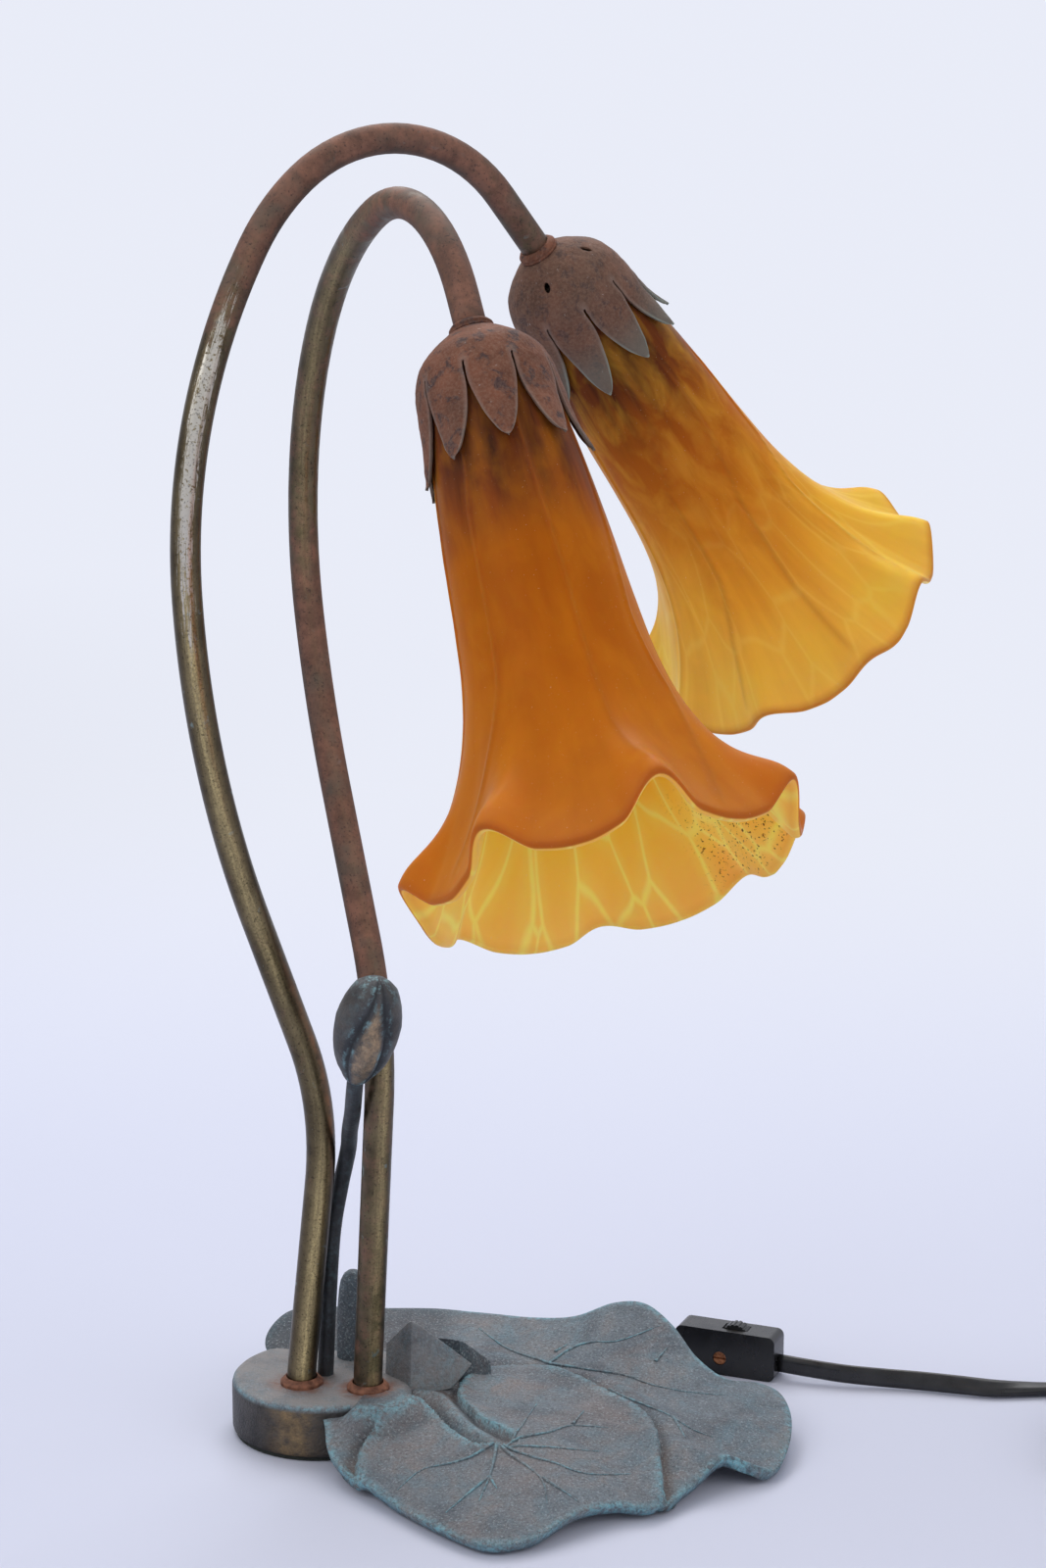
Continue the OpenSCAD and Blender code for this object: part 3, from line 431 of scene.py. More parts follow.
def shadeMaterial(name, outerStops, paintedGlow, webOutside):
    # light sinks into the frosted wall and comes through it; the neck is painted dark, with painted shade from
    # the husk and socket
    work = newMaterial(name, Roughness=0.36, IOR=1.45, Specular_IOR_Level=0.03, Subsurface_Weight=0.85,
                       Subsurface_Radius=(1, 0.5, 0.12), Subsurface_Scale=0.008)
    share, inside, flow = work.layer("share"), work.layer("inside"), work.layer("flow", "Vector")
    work.base = work.ramp(share, outerStops)
    drawn = work.add("Mapping", {"Vector": flow, "Scale": (1, 1, 0.16)}).outputs[0]
    # painted shade: dark drawn streaks below the husk, where the socket darkens the glass
    neck = work.times(work.remap(share, 0.40, 0.22), 0.85)
    work.cover(work.spots(6.5, 0.42, 0.62, 3, 0.5, at=drawn), (0.040, 0.016, 0.010), neck)
    work.cover(work.spots(3.0, 0.35, 0.70, 4, 0.55, at=drawn), (0.30, 0.065, 0.006), 0.35)
    # painted glow: bright clouds where light comes through the glass
    work.cover(work.spots(2.6, 0.42, 0.68, 4, 0.55, 0.6, flow), paintedGlow, 0.30)
    # pulled netting inside: tall drawn-out cells with soft bright lines
    net = work.add("Mapping", {"Vector": flow, "Scale": (1, 1, 0.42)}).outputs[0]
    wobble = work.add("TexNoise", {"Vector": net, "Scale": 2.2, "Detail": 2})
    cells = {"Vector": work.mix(0.12, net, wobble.outputs["Color"]), "Scale": 4.2, "Randomness": 0.85}
    web = work.add("TexVoronoi", cells, feature="DISTANCE_TO_EDGE").outputs["Distance"]
    halo = work.times(work.remap(web, 0.26, 0.0, kind="SMOOTHSTEP"), 0.25)
    lines = work.timesPlus(work.remap(web, 0.06, 0.0, kind="SMOOTHSTEP"), 0.65, halo, clamp=True)
    work.cover(lines, (1.0, 0.72, 0.14), work.remap(share, 0.5, 0.85, toHigh=webOutside))
    # the inside is painted bright gold, as light that comes through the wall
    insideGlow = work.ramp(share, [(0.0, (0.45, 0.20, 0.02)), (0.6, (0.95, 0.50, 0.03)),
                              (0.85, (1.0, 0.62, 0.08)), (1.0, (0.97, 0.55, 0.11))])
    work.cover(inside, work.mix(lines, insideGlow, (1.0, 0.80, 0.20)))
    work.cover(work.layer("rim"), (0.36, 0.105, 0.022), work.timesPlus(inside, -0.45, 0.7))
    work.cover(work.layer("ridge"), (0.24, 0.07, 0.015), 0.30)
    # dust, and brown dirt in one place inside the mouth
    work.cover(work.spots(1500, 0.71, 0.77, 2), (0.80, 0.68, 0.50), 0.35)
    work.cover(work.layer("dirt"), (0.10, 0.05, 0.02), work.spots(1100, 0.60, 0.66, 3))
    return work.finish(work.grain(500, 3), 0.06, 0.0002)


def budMaterial():
    work = newMaterial("budBronze", Metallic=0.35, Roughness=0.52)
    work.base = work.mix(work.spots(130, 0.38, 0.64, 5, 0.6), (0.034, 0.038, 0.044), (0.075, 0.082, 0.090))
    work.cover(work.layer("worn"), (0.44, 0.31, 0.19), work.spots(180, 0.30, 0.6, 5, 0.7))
    green = work.spots(300, 0.50, 0.64, 5, 0.7)
    work.cover(work.sums("ADD", work.layer("crest"), 0.08), (0.24, 0.42, 0.46), green)
    # painted shade in the bud's seams and on its stalk
    work.cover(work.layer("hollow"), (0.020, 0.021, 0.024), 0.85)
    grain = work.spots(1400, 0.40, 0.62, 3)
    work.cover(grain, (0.025, 0.026, 0.03), 0.25)
    return work.finish(grain, 0.25, 0.0003)


def plainMaterial(name, dark, light, scale, metallic, roughness, strength):
    work = newMaterial(name, Metallic=metallic, Roughness=roughness)
    cloud = work.spots(scale, 0.36, 0.66, 5, 0.6)
    work.base = work.mix(cloud, dark, light)
    rough = work.remap(cloud, toLow=max(roughness - 0.07, 0.05), toHigh=min(roughness + 0.1, 1))
    return work.finish(work.grain(scale * 5, 3), strength, 0.0002, rough)


verdigris = verdigrisMaterial()
stemBrass = stemMaterial()
huskRust = {"front": huskMaterial("huskRustFront", 0.2, 0.85), "back": huskMaterial("huskRustBack", 0.8, 0.35)}
amberTintAndGlow = {
    # from the neck to the mouth; the back shade's pale yellow flare is painted light coming through the glass
    "front": [(0.0, (0.10, 0.03, 0.012)), (0.24, (0.12, 0.036, 0.014)), (0.32, (0.24, 0.06, 0.012)),
              (0.42, (0.44, 0.118, 0.006)), (0.6, (0.47, 0.128, 0.006)), (0.78, (0.48, 0.145, 0.007)),
              (0.93, (0.48, 0.155, 0.010)), (1.0, (0.50, 0.16, 0.016))],
    "back": [(0.0, (0.10, 0.03, 0.012)), (0.24, (0.14, 0.040, 0.012)), (0.33, (0.34, 0.095, 0.010)),
             (0.45, (0.46, 0.13, 0.01)), (0.6, (0.62, 0.22, 0.014)), (0.78, (0.82, 0.40, 0.035)),
             (0.93, (0.92, 0.54, 0.07)), (1.0, (0.94, 0.56, 0.09))]}
amberGlass = {"front": shadeMaterial("frostedAmberFront", amberTintAndGlow["front"], (0.60, 0.21, 0.010), 0.0),
              "back": shadeMaterial("frostedAmberBack", amberTintAndGlow["back"], (0.94, 0.50, 0.05), 0.28)}
budBronze = budMaterial()
plainLooks = {
    # dark tone, light tone, scale of the marks, metallic, roughness, strength of the bumps
    "rustyIron": ((0.10, 0.035, 0.018), (0.30, 0.13, 0.075), 400, 0.2, 0.75, 0.5),
    "glossBlackPlastic": ((0.006, 0.006, 0.007), (0.014, 0.014, 0.015), 90, 0.0, 0.26, 0.04),
    "blackCordJacket": ((0.008, 0.008, 0.009), (0.018, 0.018, 0.02), 200, 0.0, 0.34, 0.08),
    "copperScrew": ((0.22, 0.075, 0.03), (0.55, 0.24, 0.11), 700, 0.7, 0.45, 0.3),
    "plainBrass": ((0.34, 0.23, 0.09), (0.62, 0.46, 0.20), 250, 1.0, 0.3, 0.1),
    "plainSteel": ((0.30, 0.30, 0.29), (0.52, 0.51, 0.49), 250, 1.0, 0.35, 0.1),
    "brownPhenolic": ((0.014, 0.010, 0.008), (0.035, 0.026, 0.02), 220, 0.0, 0.4, 0.1),
    "darkFelt": ((0.010, 0.012, 0.010), (0.035, 0.040, 0.034), 1400, 0.0, 0.95, 0.6),
    "wireCover": ((0.46, 0.42, 0.33), (0.62, 0.57, 0.46), 200, 0.0, 0.5, 0.05),
    "terminalPlastic": ((0.55, 0.52, 0.44), (0.68, 0.64, 0.55), 160, 0.0, 0.45, 0.05),
    "frostedBulb": ((0.86, 0.82, 0.72), (0.95, 0.92, 0.84), 120, 0.0, 0.35, 0.03),
    "blackInsulator": ((0.006, 0.006, 0.008), (0.02, 0.02, 0.024), 200, 0.0, 0.15, 0.05)}
plain = {name: plainMaterial(name, *looks) for name, looks in plainLooks.items()}
print("materials ready")


def dress(piece, material):
    piece.data.materials.clear()
    piece.data.materials.append(material)


# cords: same routes as in the part's source, in millimetres

cordValues = {
    "wide": 6.4, "thick": 3.4, "coilMiddle": (285, 38), "coilRadius": 42, "pitch": 5.1, "turnsIn": 3.25,
    "turnsOut": 3, "low": 4.2, "rise": 6.85, "sides": 20, "coilSteps": 48}
leadRoute = [
    (0, 49.5, 6.5, 0), (0, 56, 5.6, 0), (6, 68, 4.2, 0), (18, 78, 3.6, 0), (34, 84, 3.4, 0), (52, 87.5, 3.4, 0),
    (70, 88, 3.6, 0), (84, 86, 4.2, 0), (96, 82.8, 5.1, 0), (106.673, 81.026, 5.4, 0)]
runRoute = [
    (142.127, 74.774, 5.4, 0), (153, 73.2, 5, 0), (165, 72.6, 4.3, 5), (178, 73.4, 3.7, 12), (191, 74, 3.4, 20),
    (204, 73.6, 3.3, 30), (215, 74, 2.9, 50), (226, 77.4, 2.3, 75), (238, 81, 2.1, 90), (250, 82, 2.6, 60),
    (262, 81, 3.6, 25), (277, 80, 4.2, 0)]
tailRoute = [
    (325.725, 30, 11.05, 0), (325.725, 22, 10.2, 20), (325.725, 12, 8.6, 55), (325.725, 4, 7.2, 85),
    (325.725, -8, 6.7, 90)]


def coilPoint(n):
    v = cordValues
    a = math.radians(90 - 360 * n)
    r = v["coilRadius"] - v["pitch"] * (n if n < v["turnsIn"] else 2 * v["turnsIn"] - n)
    up = smoothStep((n - v["turnsIn"] + 0.125) / 0.25)
    x, y = v["coilMiddle"]
    return x + r * math.cos(a), y + r * math.sin(a), v["low"] + v["rise"] * up, 0


def twinOutline(count):
    # two round conductors side by side under one jacket, with a shallow groove between them
    points = []
    for k in range(count):
        a = 2 * math.pi * k / count
        x, y = math.cos(a), math.sin(a)
        width = cordValues["thick"] / 2 * (1 - 0.16 * max(0, 1 - abs(y) / 0.3))
        side = abs(x) ** 0.75 * (1 if x >= 0 else -1)
        points.append((side * width, y * cordValues["wide"] / 2))
    return points


def flatCord(name, path):
    outline = twinOutline(cordValues["sides"])
    verts = []
    for i, p in enumerate(path):
        a, b = path[max(i - 1, 0)], path[min(i + 1, len(path) - 1)]
        heading = Vector((b[0] - a[0], b[1] - a[1], b[2] - a[2])).normalized()
        side = heading.cross(Vector((0, 0, 1))).normalized()
        up = side.cross(heading)
        turn = math.radians(p[3])
        for x, y in outline:
            acrossTurned = x * math.cos(turn) - y * math.sin(turn)
            upTurned = x * math.sin(turn) + y * math.cos(turn)
            verts.append((Vector(p[:3]) + side * acrossTurned + up * upTurned) * mm)
    m = len(outline)
    faces = [(j * m + i, j * m + (i + 1) % m, (j + 1) * m + (i + 1) % m, (j + 1) * m + i)
             for j in range(len(path) - 1) for i in range(m)]
    faces += [tuple(range(m - 1, -1, -1)), tuple(range((len(path) - 1) * m, len(path) * m))]
    mesh = bpy.data.meshes.new(name)
    mesh.from_pydata(verts, [], faces)
    cord = bpy.data.objects.new(name, mesh)
    bpy.context.collection.objects.link(cord)
    facesOutward(cord)
    settle(cord)
    dress(cord, plain["blackCordJacket"])
    return cord


def pathLength(path):
    return sum((Vector(q[:3]) - Vector(p[:3])).length for p, q in zip(path, path[1:])) * mm


leadPath = sampled(leadRoute, 5)
coilTurns = cordValues["turnsIn"] + cordValues["turnsOut"]
coilPath = [
    coilPoint(i / cordValues["coilSteps"]) for i in range(round(coilTurns * cordValues["coilSteps"]) + 1)]
mainPath = sampled(runRoute, 5) + coilPath + sampled(tailRoute, 4)
leadCord = flatCord("leadCord", leadPath)
mainCord = flatCord("mainCord", mainPath)
for cord, cadNodes in ((leadCord, ["cord_lead"]), (mainCord, ["cord_run", "cord_coil", "cord_tail"])):
    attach(cord, "lamp")
    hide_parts(*cadNodes)
print("cords laid:", round(pathLength(leadPath), 3), round(pathLength(mainPath), 3))


# stems: circles extruded along straight runs and spun round the bends

stemValues = {
    "radius": 4.75, "wall": 1.0, "low": 7, "sides": 40,
    "back": {
        "foot": (-3.75, -10), "turn": 44.7,
        "bends": [
            (0, 14), (47.4, 6.8), (0, 60.7), (105.2, -27.2), (0, 45.7), (355.1, 17.3), (194.8, 32.6),
            (71, 21.3), (50.8, 90.2), (0, 23.5)]},
    "front": {
        "foot": (18.75, -10), "turn": -52.4,
        "bends": [
            (0, 14), (47.2, 6.9), (0, 93.8), (88.9, -35), (0, 50.6), (257.5, 12.7), (116.6, 47.6), (96.4, 35.5),
            (52, 79.3), (0, 12.7)]}}


# the side towards the front of the picture
frontSide = Vector((0.2113, -0.9532, 0.2164))


def stemEnd(bends):
    x = z = heading = 0
    for radius, reach in bends:
        a = math.radians(heading)
        if radius == 0:
            x += reach * math.sin(a)
            z += reach * math.cos(a)
        else:
            b = math.radians(heading + reach)
            k = -1 if reach < 0 else 1
            x += k * radius * (math.cos(a) - math.cos(b))
            z += k * radius * (math.sin(b) - math.sin(a))
            heading += reach
    return x, z, heading


def stemFrame(side):
    # the stem's own upright plane, from its foot
    v = stemValues[side]
    foot = Matrix.Translation((v["foot"][0] * mm, v["foot"][1] * mm, stemValues["low"] * mm))
    return foot @ Matrix.Rotation(math.radians(v["turn"]), 4, "Z")


def endFrame(side):
    # +Z runs down the shade's axis from the free end of the stem
    x, z, heading = stemEnd(stemValues[side]["bends"])
    return stemFrame(side) @ Matrix.Translation((x * mm, 0, z * mm)) @ Matrix.Rotation(
        math.radians(heading), 4, "Y")


def makeStem(side):
    v = stemValues
    bends = v[side]["bends"]
    clearSelection()
    ops.mesh.primitive_circle_add(vertices=v["sides"], radius=v["radius"] * mm, fill_type="NOTHING")
    stem = added("stem" + side.title())
    ops.object.mode_set(mode="EDIT")
    ops.mesh.select_all(action="SELECT")
    lengths = [0]
    for i, (radius, reach) in enumerate(bends):
        x, z, heading = stemEnd(bends[:i])
        a = math.radians(heading)
        if radius == 0:
            steps = max(1, round(reach / 6))
            for j in range(steps):
                step = (math.sin(a) * reach / steps * mm, 0, math.cos(a) * reach / steps * mm)
                ops.mesh.extrude_region_move(TRANSFORM_OT_translate={"value": step})
                lengths.append(lengths[-1] + reach / steps)
        else:
            k = -1 if reach < 0 else 1
            steps = max(2, math.ceil(abs(math.radians(reach)) * radius / 4))
            centre = ((x + k * radius * math.cos(a)) * mm, 0, (z - k * radius * math.sin(a)) * mm)
            ops.mesh.spin(steps=steps, angle=-math.radians(reach), center=centre, axis=(0, 1, 0))
            for j in range(steps):
                lengths.append(lengths[-1] + abs(math.radians(reach)) * radius / steps)
    ops.object.mode_set(mode="OBJECT")
    sides = v["sides"]
    total = lengths[-1]
    stem.data.transform(stemFrame(side))
    middles = []
    for i in range(len(lengths)):
        ring = stem.data.vertices[i * sides:(i + 1) * sides]
        middles.append(sum((vertex.co for vertex in ring), Vector()) / sides)
    place, around, tube = [], [], []
    for vertex in stem.data.vertices:
        i = min(vertex.index // sides, len(lengths) - 1)
        tangent = (middles[min(i + 1, len(middles) - 1)] - middles[max(i - 1, 0)]).normalized()
        front = (frontSide - tangent * tangent.dot(frontSide)).normalized()
        out = vertex.co - middles[i]
        angle = math.atan2(out.dot(tangent.cross(front)), out.dot(front))
        place.append(lengths[i] / total)
        around.append(math.degrees(angle))
        tube.append((math.cos(angle) * v["radius"], math.sin(angle) * v["radius"], lengths[i] * 0.06))
    pointLayers(stem, along=place, around=around)
    pointValues(stem, "tube", tube, "FLOAT_VECTOR")
    facesOutward(stem)
    applyModifier(stem, "SOLIDIFY", thickness=v["wall"] * mm, offset=-1)
    settle(stem)
    return stem


# the colour differs round the tube: rust is patina, and a painted highlight and painted shade follow the side;
# 0 degrees is the side towards the front, more is to its right
stemLooks = {
    # along the stem: (place, rust, painted highlight, middle of the painted highlight, silvery painted
    # highlight, painted shade on the left, painted shade on the right, rusty right edge)
    "back": [
        (0.0, 0.10, 0.75, 5, 0, 0.3, 0.9, 0), (0.14, 0.08, 0.75, 12, 0, 0.3, 0.9, 0),
        (0.19, 0.12, 0.25, 10, 0, 0.2, 0.5, 0.7), (0.27, 0.15, 0.2, 5, 0.05, 0.3, 0.5, 0.7),
        (0.32, 0.15, 0.55, 5, 0.1, 0.5, 0.6, 0.1), (0.45, 0.05, 0.7, 5, 0.25, 0.5, 0.6, 0),
        (0.52, 0.05, 0.8, 5, 0.5, 0.5, 0.6, 0), (0.60, 0.05, 0.6, 5, 0.9, 0.4, 0.5, 0),
        (0.68, 0.2, 0.3, 8, 0.9, 0.3, 0.5, 0), (0.72, 0.6, 0.1, 5, 0.4, 0.3, 0.6, 0),
        (0.78, 0.9, 0, 0, 0.05, 0.1, 0.7, 0), (0.9, 0.85, 0, 0, 0, 0.1, 0.6, 0),
        (1.0, 0.5, 0, 0, 0, 0.5, 0.6, 0)],
    "front": [
        (0.0, 0.3, 0.4, 25, 0, 0.1, 0.6, 0), (0.25, 0.35, 0.45, 25, 0, 0.15, 0.6, 0),
        (0.3, 0.9, 0.05, 20, 0, 0.6, 0.2, 0.1), (0.53, 0.9, 0.05, 10, 0, 0.6, 0.2, 0.1),
        (0.6, 0.35, 0.3, 0, 0, 0.5, 0.5, 0), (0.78, 0.3, 0.3, 0, 0, 0.5, 0.5, 0),
        (0.84, 0.6, 0.1, 0, 0.05, 0.3, 0.5, 0), (0.9, 0.7, 0, 0, 0, 0.3, 0.5, 0.1),
        (1.0, 0.9, 0, 0, 0, 0.2, 0.4, 0.4)]}


bandValues = {"highlightWide": 24, "silver": 0.85, "silverHighlightAt": 5, "silverHighlightWide": 42, "shadeLeftFrom": 30, "shadeLeftWide": 35,
              "shadeRightFrom": 38, "shadeRightWide": 32, "edgeAt": 55, "edgeWide": 18}


def blendStops(stops, t):
    for a, b in zip(stops, stops[1:]):
        if t <= b[0]:
            f = (t - a[0]) / max(b[0] - a[0], 1e-6)
            return [p + (q - p) * f for p, q in zip(a[1:], b[1:])]
    return stops[-1][1:]


for side in ("back", "front"):
    stem = makeStem(side)
    layers = stem.data.attributes
    bands = bandValues
    layerPairs = zip(layers["along"].data, layers["around"].data)
    looks = [(blendStops(stemLooks[side], a.value), b.value) for a, b in layerPairs]
    # painted shade down the left and right sides of the tube
    paintedShades = [(v[4] * smoothStep((-turn - bands["shadeLeftFrom"]) / bands["shadeLeftWide"]),
              v[5] * smoothStep((turn - bands["shadeRightFrom"]) / bands["shadeRightWide"])) for v, turn in looks]
    pointLayers(
        stem, rustiness=[v[0] for v, turn in looks],
        gold=[v[1] * bell(turn - v[2], bands["highlightWide"]) for v, turn in looks],
        silver=[
            v[3] * bands["silver"] * bell(turn - bands["silverHighlightAt"], bands["silverHighlightWide"]) for v, turn in looks],
        dark=[left + right for left, right in paintedShades],
        edge=[v[6] * bell(turn - bands["edgeAt"], bands["edgeWide"]) for v, turn in looks])
    dress(stem, stemBrass)
    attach(stem, "lamp")
    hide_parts("stem_" + side)
print("stems bent")


# glass shades: extruded rings, ruffled at the mouth

shadeValues = {
    "top": 8.5, "long": 156.5, "wall": 2.6, "lip": 3.2, "up": 12, "out": 5, "ridge": 0.5, "ridgeWide": 1.5,
    "sides": 320, "tight": 12.5, "broad": 24, "uneven": 0.35, "sag": 2.2,
    "outline": [
        (0, 14.8), (0.012, 16.2), (0.04, 17.5), (0.09, 18.8), (0.17, 20.4), (0.27, 22.2), (0.38, 23.8),
        (0.5, 25.2), (0.62, 27.2), (0.72, 30.6), (0.8, 35.2), (0.87, 40.6), (0.93, 46), (0.97, 50), (1, 53)],
    # crests of the ruffle: place round the mouth and size
    "back": {
        "seed": 3.0,
        "crests": [
            (5, 0.4), (50, 0.8), (92, 0.9), (134, 0.8), (174, 0.8), (214, 0.75), (248, 0.8), (281, 0.4),
            (322, 0.65)],
        "ribs": [
            [(0.3, 262), (0.43, 265), (0.6, 278), (0.8, 284), (0.96, 283)],
            [(0.35, 214), (0.55, 219), (0.66, 233), (0.8, 237), (0.96, 246)], [(0.2, 5), (0.96, 5)],
            [(0.25, 300), (0.35, 303), (0.5, 318), (0.72, 319), (0.84, 327), (0.96, 330)],
            [(0.2, 46), (0.96, 50)], [(0.2, 95), (0.96, 92)], [(0.2, 130), (0.96, 134)],
            [(0.2, 170), (0.96, 174)]]},
    "front": {
        "seed": 9.0,
        "crests": [
            (20, 0.45), (70, 0.45), (104, 0.8), (138, 0.95), (188, 1), (238, 0.9), (284, 0.9), (330, 0.45)],
        "ribs": [
            [(0.15, 236), (0.25, 237), (0.34, 241), (0.67, 242), (0.78, 250), (0.87, 255), (0.96, 262)],
            [(0.15, 133), (0.28, 134), (0.41, 137), (0.57, 147), (0.73, 145), (0.86, 156), (0.97, 166)],
            [(0.2, 190), (0.5, 188), (0.8, 190), (0.96, 188)], [(0.2, 15), (0.96, 20)], [(0.2, 68), (0.96, 70)],
            [(0.2, 326), (0.96, 320)], [(0.2, 280), (0.96, 290)]]}}


def shadeProfile():
    v = shadeValues
    samples = sampled(v["outline"], 5)
    outside = [(11.5, v["top"])] + [(r, v["top"] + v["long"] * t) for t, r in samples]
    inside = []
    for i in range(len(outside) - 1, 1, -1):
        a, b = outside[i - 1], outside[min(i + 1, len(outside) - 1)]
        dr, dz = b[0] - a[0], b[1] - a[1]
        size = math.hypot(dr, dz)
        t = (outside[i][1] - v["top"]) / v["long"]
        wall = v["wall"] + (v["lip"] - v["wall"]) * smoothStep((t - 0.93) / 0.07)
        inside.append((outside[i][0] - wall * dz / size, outside[i][1] + wall * dr / size * 0.9))
    # rounded bead where the wall turns over at the mouth
    last, first = outside[-1], inside[0]
    middle = ((last[0] + first[0]) / 2, (last[1] + first[1]) / 2)
    across = ((last[0] - first[0]) / 2, (last[1] - first[1]) / 2)
    outward = (-across[1], across[0]) if across[0] > 0 else (across[1], -across[0])
    bead = []
    for k in range(1, 10):
        a = math.pi * k / 10
        bead.append([m + c * math.cos(a) + o * math.sin(a) for m, c, o in zip(middle, across, outward)])
    inside = [p for p in inside if p[1] > v["top"] + v["wall"]]
    return outside, bead, inside + [(13.9, v["top"] + v["wall"]), (11.5, v["top"] + v["wall"])]


def turnApart(a, b):
    return abs((a - b + 180) % 360 - 180)


def ruffleAt(crests, angle, half):
    return max(
        size * (1 + math.cos(math.pi * min(1, turnApart(angle, place) / half))) / 2 for place, size in crests)


def ridgeAt(ribs, angle, t, wide):
    best = 0
    for rib in ribs:
        if rib[0][0] - 0.08 < t < rib[-1][0] + 0.03:
            place = blendStops(rib, min(max(t, rib[0][0]), rib[-1][0]))[0]
            fade = smoothStep((t - rib[0][0] + 0.08) / 0.08) * smoothStep((rib[-1][0] + 0.03 - t) / 0.05)
            best = max(best, fade * bell(turnApart(angle, place), wide))
    return best


def makeShade(side):
    v = shadeValues
    outside, bead, inside = shadeProfile()
    profile = outside + bead + inside
    shade = ringStack("shade" + side.title(), profile, v["sides"], loop=True)
    count = v["sides"]
    crests, ribs = v[side]["crests"], v[side]["ribs"]
    seed = v[side]["seed"]
    share, within, rim, ridge, flow, dirt = [], [], [], [], [], []
    for vertex in shade.data.vertices:
        ring = min(vertex.index // count, len(profile) - 1)
        x, y, z = vertex.co
        angle = math.atan2(y, x)
        turn = math.degrees(angle) % 360
        t = min(1.02, max(0, (z / mm - v["top"]) / v["long"]))
        narrow, broad = ruffleAt(crests, turn, v["tight"]), ruffleAt(crests, turn, v["broad"])
        lipped, flared = smoothStep((t - 0.80) / 0.2), smoothStep((t - 0.55) / 0.45)
        lift = 0.6 * narrow * lipped ** 2 + 0.4 * broad * flared ** 2
        curl = 0.75 * narrow * lipped + 0.4 * broad * flared - 0.2 * flared
        line = ridgeAt(ribs, turn, t, v["ridgeWide"])
        spot = Vector((math.cos(angle) * 1.6, math.sin(angle) * 1.6, t * 2.2 + seed))
        soft = v["uneven"] * noise.noise(spot) * smoothStep(t / 0.2)
        ridgeOut = v["ridge"] * line if ring < len(outside) else 0
        radius = math.hypot(x, y) + (v["out"] * curl + soft + ridgeOut) * mm
        height = z - (v["up"] * lift - v["sag"] * flared ** 2) * mm
        vertex.co = (radius * math.cos(angle), radius * math.sin(angle), height)
        share.append(t)
        within.append(1.0 if ring >= len(outside) + len(bead) // 2 else 0.0)
        distance = abs(ring - (len(outside) + len(bead) / 2 - 0.5))
        rim.append(smoothStep((7.5 - distance) / 4))
        ridge.append(line if ring < len(outside) else 0)
        dirty = smoothStep((t - 0.8) / 0.1) * smoothStep((28 - turnApart(turn, 84)) / 12)
        dirt.append(dirty if ring > len(outside) + len(bead) else 0)
        flow.append((math.cos(angle), math.sin(angle), t * 3 + seed))
    pointLayers(shade, dirt=dirt, share=share, inside=within, rim=rim, ridge=ridge)
    pointValues(shade, "flow", flow, "FLOAT_VECTOR")
    facesOutward(shade)
    settle(shade, endFrame(side))
    dress(shade, amberGlass[side])
    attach(shade, "lamp")
    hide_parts("shade_" + side)


for side in ("back", "front"):
    makeShade(side)
print("shades blown")


# husks: a domed cap whose rim is extruded into petals

huskValues = {
    "petals": 9, "sheet": 0.9, "across": 10, "fullTip": 43.5,
    "vent": {"radius": 1, "deep": 6, "long": 1.9, "out": 14.3, "down": 5.5, "lean": 141},
    "domeRings": [
        (5.3, 0), (6.5, 0), (8.6, 1.2), (11.2, 3), (12.8, 4.2), (14.3, 5.5), (15.6, 6.7), (16.8, 8),
        (17.8, 9.2), (18.6, 10.5), (19.6, 13.2), (20.4, 16)],
    # up the petal: height, half width, radius
    "petal": [
        (17, 6.95, 20.55), (18.2, 6.75, 20.7), (19.6, 6.95, 20.9), (22, 7.1, 21.2), (24.5, 6.95, 21.5),
        (27, 6.5, 21.7), (29.5, 5.95, 21.9), (32, 5.35, 22.2), (34.5, 4.7, 22.6), (37, 3.9, 23),
        (39, 3.15, 23.4), (41, 2.2, 23.9), (42.5, 1.35, 24.4), (43.4, 0.5, 24.8)],
    "back": {"seed": 3, "spin": 31, "tips": {7: 44.3, 6: 41.7, 5: 42.5}, "vents": (50, 140, 230, 312)},
    "front": {"seed": 0, "spin": 0, "tips": {7: 46, 6: 44.6, 5: 43.1, 4: 43.4, 3: 44.6}, "vents": ()}}


def ventCutter(angles):
    # a row of almond-shaped bars, each square to the dome
    v = huskValues["vent"]
    bars = []
    for angle in angles:
        clearSelection()
        ops.mesh.primitive_cylinder_add(vertices=20, radius=v["radius"] * mm, depth=v["deep"] * mm)
        bar = added("ventBar")
        place = Matrix.Translation(
            (v["out"] * mm, 0, v["down"] * mm)) @ Matrix.Rotation(math.radians(v["lean"]), 4, "Y")
        place = place @ Matrix.Diagonal((v["long"], 1, 1, 1))
        bar.data.transform(Matrix.Rotation(math.radians(angle), 4, "Z") @ place)
        bars.append(bar)
    return joinPieces("ventBars", bars)


